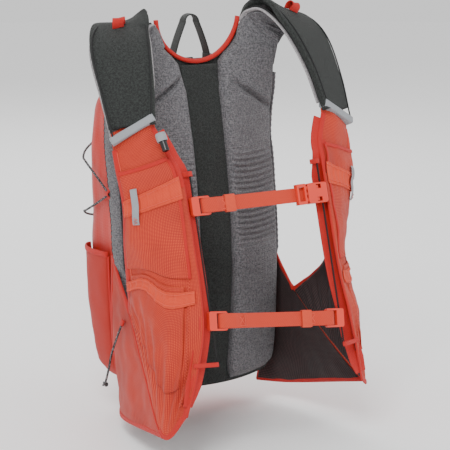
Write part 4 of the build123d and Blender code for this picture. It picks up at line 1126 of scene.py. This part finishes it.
for side_name, side in SIDES:
    lock_x = 4
    upper_run = [(lock_x, 192, 26), (lock_x, 192, 45), (lock_x, 192, 65), (lock_x, 192, 85), (lock_x, 192, 98),
                 (lock_x + 3, 192, 107), (20, 191.5, 114), (60, 190.3, 118),
                 (82, 190.2, 118.5), (99, 190, 111.5), (118, 182, 101), (131, 166, 93), (135, 150, 88), (135.4, 110, 70),
                 (135.3, 84, 57), (135.2, 76, 52)]
    lower_run = [(135.2, 76, 52), (135.3, 84, 47), (135.4, 110, 34), (135, 150, 16), (131, 166, 11), (118, 182, 3),
                 (99, 190, -3), (82, 190.2, -8.5), (60, 190.3, -9), (20, 191.5, -9), (0, 191.5, -9)]
    route = even([(side * x, y, z) for x, y, z in upper_run + lower_run[1:]], 220)
    piping(f"bungee_{side_name}", route, CORD_RADIUS, "cord", stands_for=("compression_cord",) if side < 0 else ())
    for guide_name, spot in (("top", (78, 190.4, 118)), ("foot", (78, 190.4, -8)), ("side", (135.2, 77, 52))):
        spot = np.array(spot, float) * (side, 1, 1)
        out = np.array((side, 0, 0)) if guide_name == "side" else np.array((0, 1, 0))
        along = np.array((0, 0, 1))
        loop = [spot - along * 9 - out * 2.2, spot - along * 4 - out * 0.6, spot - along * 2.6 + out * 1.6,
                spot + out * 2.6, spot + along * 2.6 + out * 1.6, spot + along * 4 - out * 0.6, spot + along * 9 - out * 2.2]
        wide = np.cross(out, along)
        strip(f"cord_loop_{guide_name}_{side_name}", resample(loop, 40), wide, 9, 1.2, "binding",
              stands_for=("cord_guides",) if side < 0 and guide_name == "side" else (), corner=4)

# ---------------------------------------------------------------- main zip
ZIP_Y = 118
ZIP_HALF = 84


zip_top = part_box("main_zip")[1][2] / MM
zip_x = np.linspace(-ZIP_HALF, ZIP_HALF, 90)
tape = np.stack([zip_x, np.full_like(zip_x, ZIP_Y), np.full_like(zip_x, zip_top - 0.9)], axis=1)
strip("zip_tape", tape, (0, 1, 0), 26, 1.8, "charcoal", stands_for=("main_zip",), corner=6, around=24)
for tooth_side in (-1, 1):
    spin = zip_x[0] + np.linspace(0, 2 * ZIP_HALF, 900)
    row = np.stack([spin, ZIP_Y + tooth_side * 1.3 + 0.9 * np.cos(spin * 2 * math.pi / 2.4),
                    np.full_like(spin, zip_top + 0.2) + 0.7 * np.sin(spin * 2 * math.pi / 2.4)], axis=1)
    piping(f"zip_coil_{'front' if tooth_side < 0 else 'rear'}", row, 0.45, "piping")

# ---------------------------------------------------------------- side pockets
POCKET_FRONT = 84
POCKET_REAR = 160
POCKET_MOUTH = -42
POCKET_BASE = -226
POCKET_OUT = 12


def pocket_surface(side, rows, columns):
    """The stretch pocket's outer face, from its base to its mouth, bulging away from the bag."""
    grid = []
    station = resample(BAG_STATIONS, 200)
    for v in np.linspace(0, 1, rows):
        z = POCKET_BASE + v * (POCKET_MOUTH - POCKET_BASE)
        near = station[np.argmin(np.abs(station[:, 0] - z))]
        section = bag_section(z, *near[1:])
        half = section[section[:, 0] > 0]
        half = half[half[:, 1] < near[2] - 0.5][::-1]
        half = half[np.argsort(half[:, 1])]
        row = []
        for u in np.linspace(0, 1, columns):
            y = POCKET_FRONT + 1 + u * (POCKET_REAR - POCKET_FRONT - 2)
            x = np.interp(y, half[:, 1], half[:, 0])
            slope = (np.interp(y + 2, half[:, 1], half[:, 0]) - np.interp(y - 2, half[:, 1], half[:, 0])) / 4
            out = unit(np.array((1, -slope)))
            rise = math.sin(math.pi * u) ** 0.4 * min(1, (v + 0.02) / 0.12) ** 0.6
            stand = 1.4 + (POCKET_OUT - 2.0) * rise
            row.append((side * (x + out[0] * stand), y + out[1] * stand, z))
        grid.append(row)
    return np.array(grid)


for side_name, side in SIDES:
    grid = pocket_surface(side, 100, 60)
    out = normals_of(grid, (side, 0.3, 0))
    u = np.linspace(0, 1, 60)[None]
    edge = np.clip(np.minimum(u, 1 - u) / 0.15, 0, 1) * np.ones((100, 1))
    grid = grid + out * ((rough(grid, 26, 4 * side) * 1.2) * edge)[..., None]
    piece = cloth(f"stretch_pocket_{side_name}", grid, (side, 0.3, 0), 1.6, "stretch",
                  stands_for=(f"side_pocket_{side_name}",))
    mouth = grid[-1] + np.array((0, 0, 3.0))
    down = np.array((0, 0, -1.0)) * np.ones((60, 1))
    strip(f"pocket_mouth_{side_name}", mouth + out[-1] * 0.2, down, 8.5, 3.4, "binding",
          stands_for=(f"pocket_binding_{side_name}",))
    for edge_name, column in (("front", 0), ("rear", -1)):
        strip(f"pocket_{edge_name}_seam_{side_name}", grid[:, column] + out[:, column] * 0.2,
              unit(grid[:, 30] - grid[:, column]), 4.5, 2.4, "binding")

# ---------------------------------------------------------------- reservoir and its sleeve
BLADDER_HALF = 76
BLADDER_LOW = -196
BLADDER_HIGH = 118


def pillow(name, half, low, high, front, back, material, node, body=PACK, soft=0.8):
    """A closed slack pillow that lies along the back panel."""
    rows = []
    for t in np.linspace(0, 1, 70):
        z = low + t * (high - low)
        row = []
        for a in np.linspace(0, 2 * math.pi, 72, endpoint=False):
            tall = (1 - abs(2 * t - 1) ** 6) ** 0.5
            x = half * np.sign(math.cos(a)) * abs(math.cos(a)) ** 0.45 * (0.82 + 0.18 * tall)
            thick = abs(math.sin(a)) ** 0.6 * np.sign(math.sin(a)) * max(tall, 0.04)
            y = panel_y(x, z) + (front + back) / 2 + (back - front) / 2 * thick
            row.append((x, y, z))
        rows.append(row)
    grid = np.array(rows)
    grid[..., 1] += rough(grid, 40, 7) * soft
    count, around = grid.shape[:2]
    faces = [(i * around + j, i * around + (j + 1) % around, (i + 1) * around + (j + 1) % around, (i + 1) * around + j)
             for i in range(count - 1) for j in range(around)]
    faces += [tuple(range(around))[::-1], tuple((count - 1) * around + j for j in range(around))]
    piece = make_mesh(name, grid.reshape(-1, 3), faces, grid.reshape(-1, 3)[:, (0, 2, 1)], material, body, (node,))
    return piece


pillow("bladder_skin", BLADDER_HALF - 1, BLADDER_LOW + 1, BLADDER_HIGH - 1, 15, 40, "film", "reservoir_bladder")
neck = np.array([(0, panel_y(0, 86) + y, 86) for y in np.linspace(38, 57, 12)])
strip("bladder_neck", neck, (1, 0, 0), 52, 52, "film", corner=2, around=48)
sleeve_rows = []
for z in np.linspace(-217, 47, 60):
    x = np.linspace(-80, 80, 50)
    sleeve_rows.append(np.stack([x, panel_y(x, z) + 43, np.full_like(x, z)], axis=1))
sleeve = cloth("sleeve_cloth", sleeve_rows, (0, 1, 0), 1.0, "lining_mesh", stands_for=("reservoir_sleeve",))

# ---------------------------------------------------------------- materials of the frame's own nodes
NODE_FINISH = {
    "red_plastic": ("upper_hook_left", "upper_buckle_female", "upper_buckle_male", "lower_hook_left",
                    "lower_hook_right"),
    "black_plastic": ("whistle", "cord_lock", "zip_slider"),
    "blue_plastic": ("reservoir_cap", "hose_port"),
    "sheet_plastic": ("frame_sheet",),
}
NODE_BEVEL = {"red_plastic": 0.9, "black_plastic": 0.6, "blue_plastic": 0.8, "sheet_plastic": 0.3}
for finish, names in NODE_FINISH.items():
    for node in names:
        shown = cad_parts[node]
        for place in shown.material_slots:
            place.material = MAT[finish]
        bevel = shown.modifiers.new("edge", "BEVEL")
        bevel.width = NODE_BEVEL[finish] * MM
        bevel.segments = 3
        bevel.limit_method = "ANGLE"
        bevel.angle_limit = math.radians(40)
        bevel.harden_normals = True

# ---------------------------------------------------------------- floor
FLOOR = -0.292
floor_mesh = bpy.data.meshes.new("floor")
RADIUS = 6.0
ring = [(RADIUS * math.cos(a), RADIUS * math.sin(a), FLOOR) for a in np.linspace(0, 2 * math.pi, 64, endpoint=False)]
floor_mesh.from_pydata(ring, [], [tuple(range(64))])
floor = bpy.data.objects.new("floor", floor_mesh)
bpy.context.collection.objects.link(floor)
pale = bpy.data.materials.new("pale_floor")
pale.use_nodes = True
pale.node_tree.nodes["Principled BSDF"].inputs["Base Color"].default_value = (1.0, 1.0, 1.0, 1)
pale.node_tree.nodes["Principled BSDF"].inputs["Roughness"].default_value = 0.9
floor_mesh.materials.append(pale)
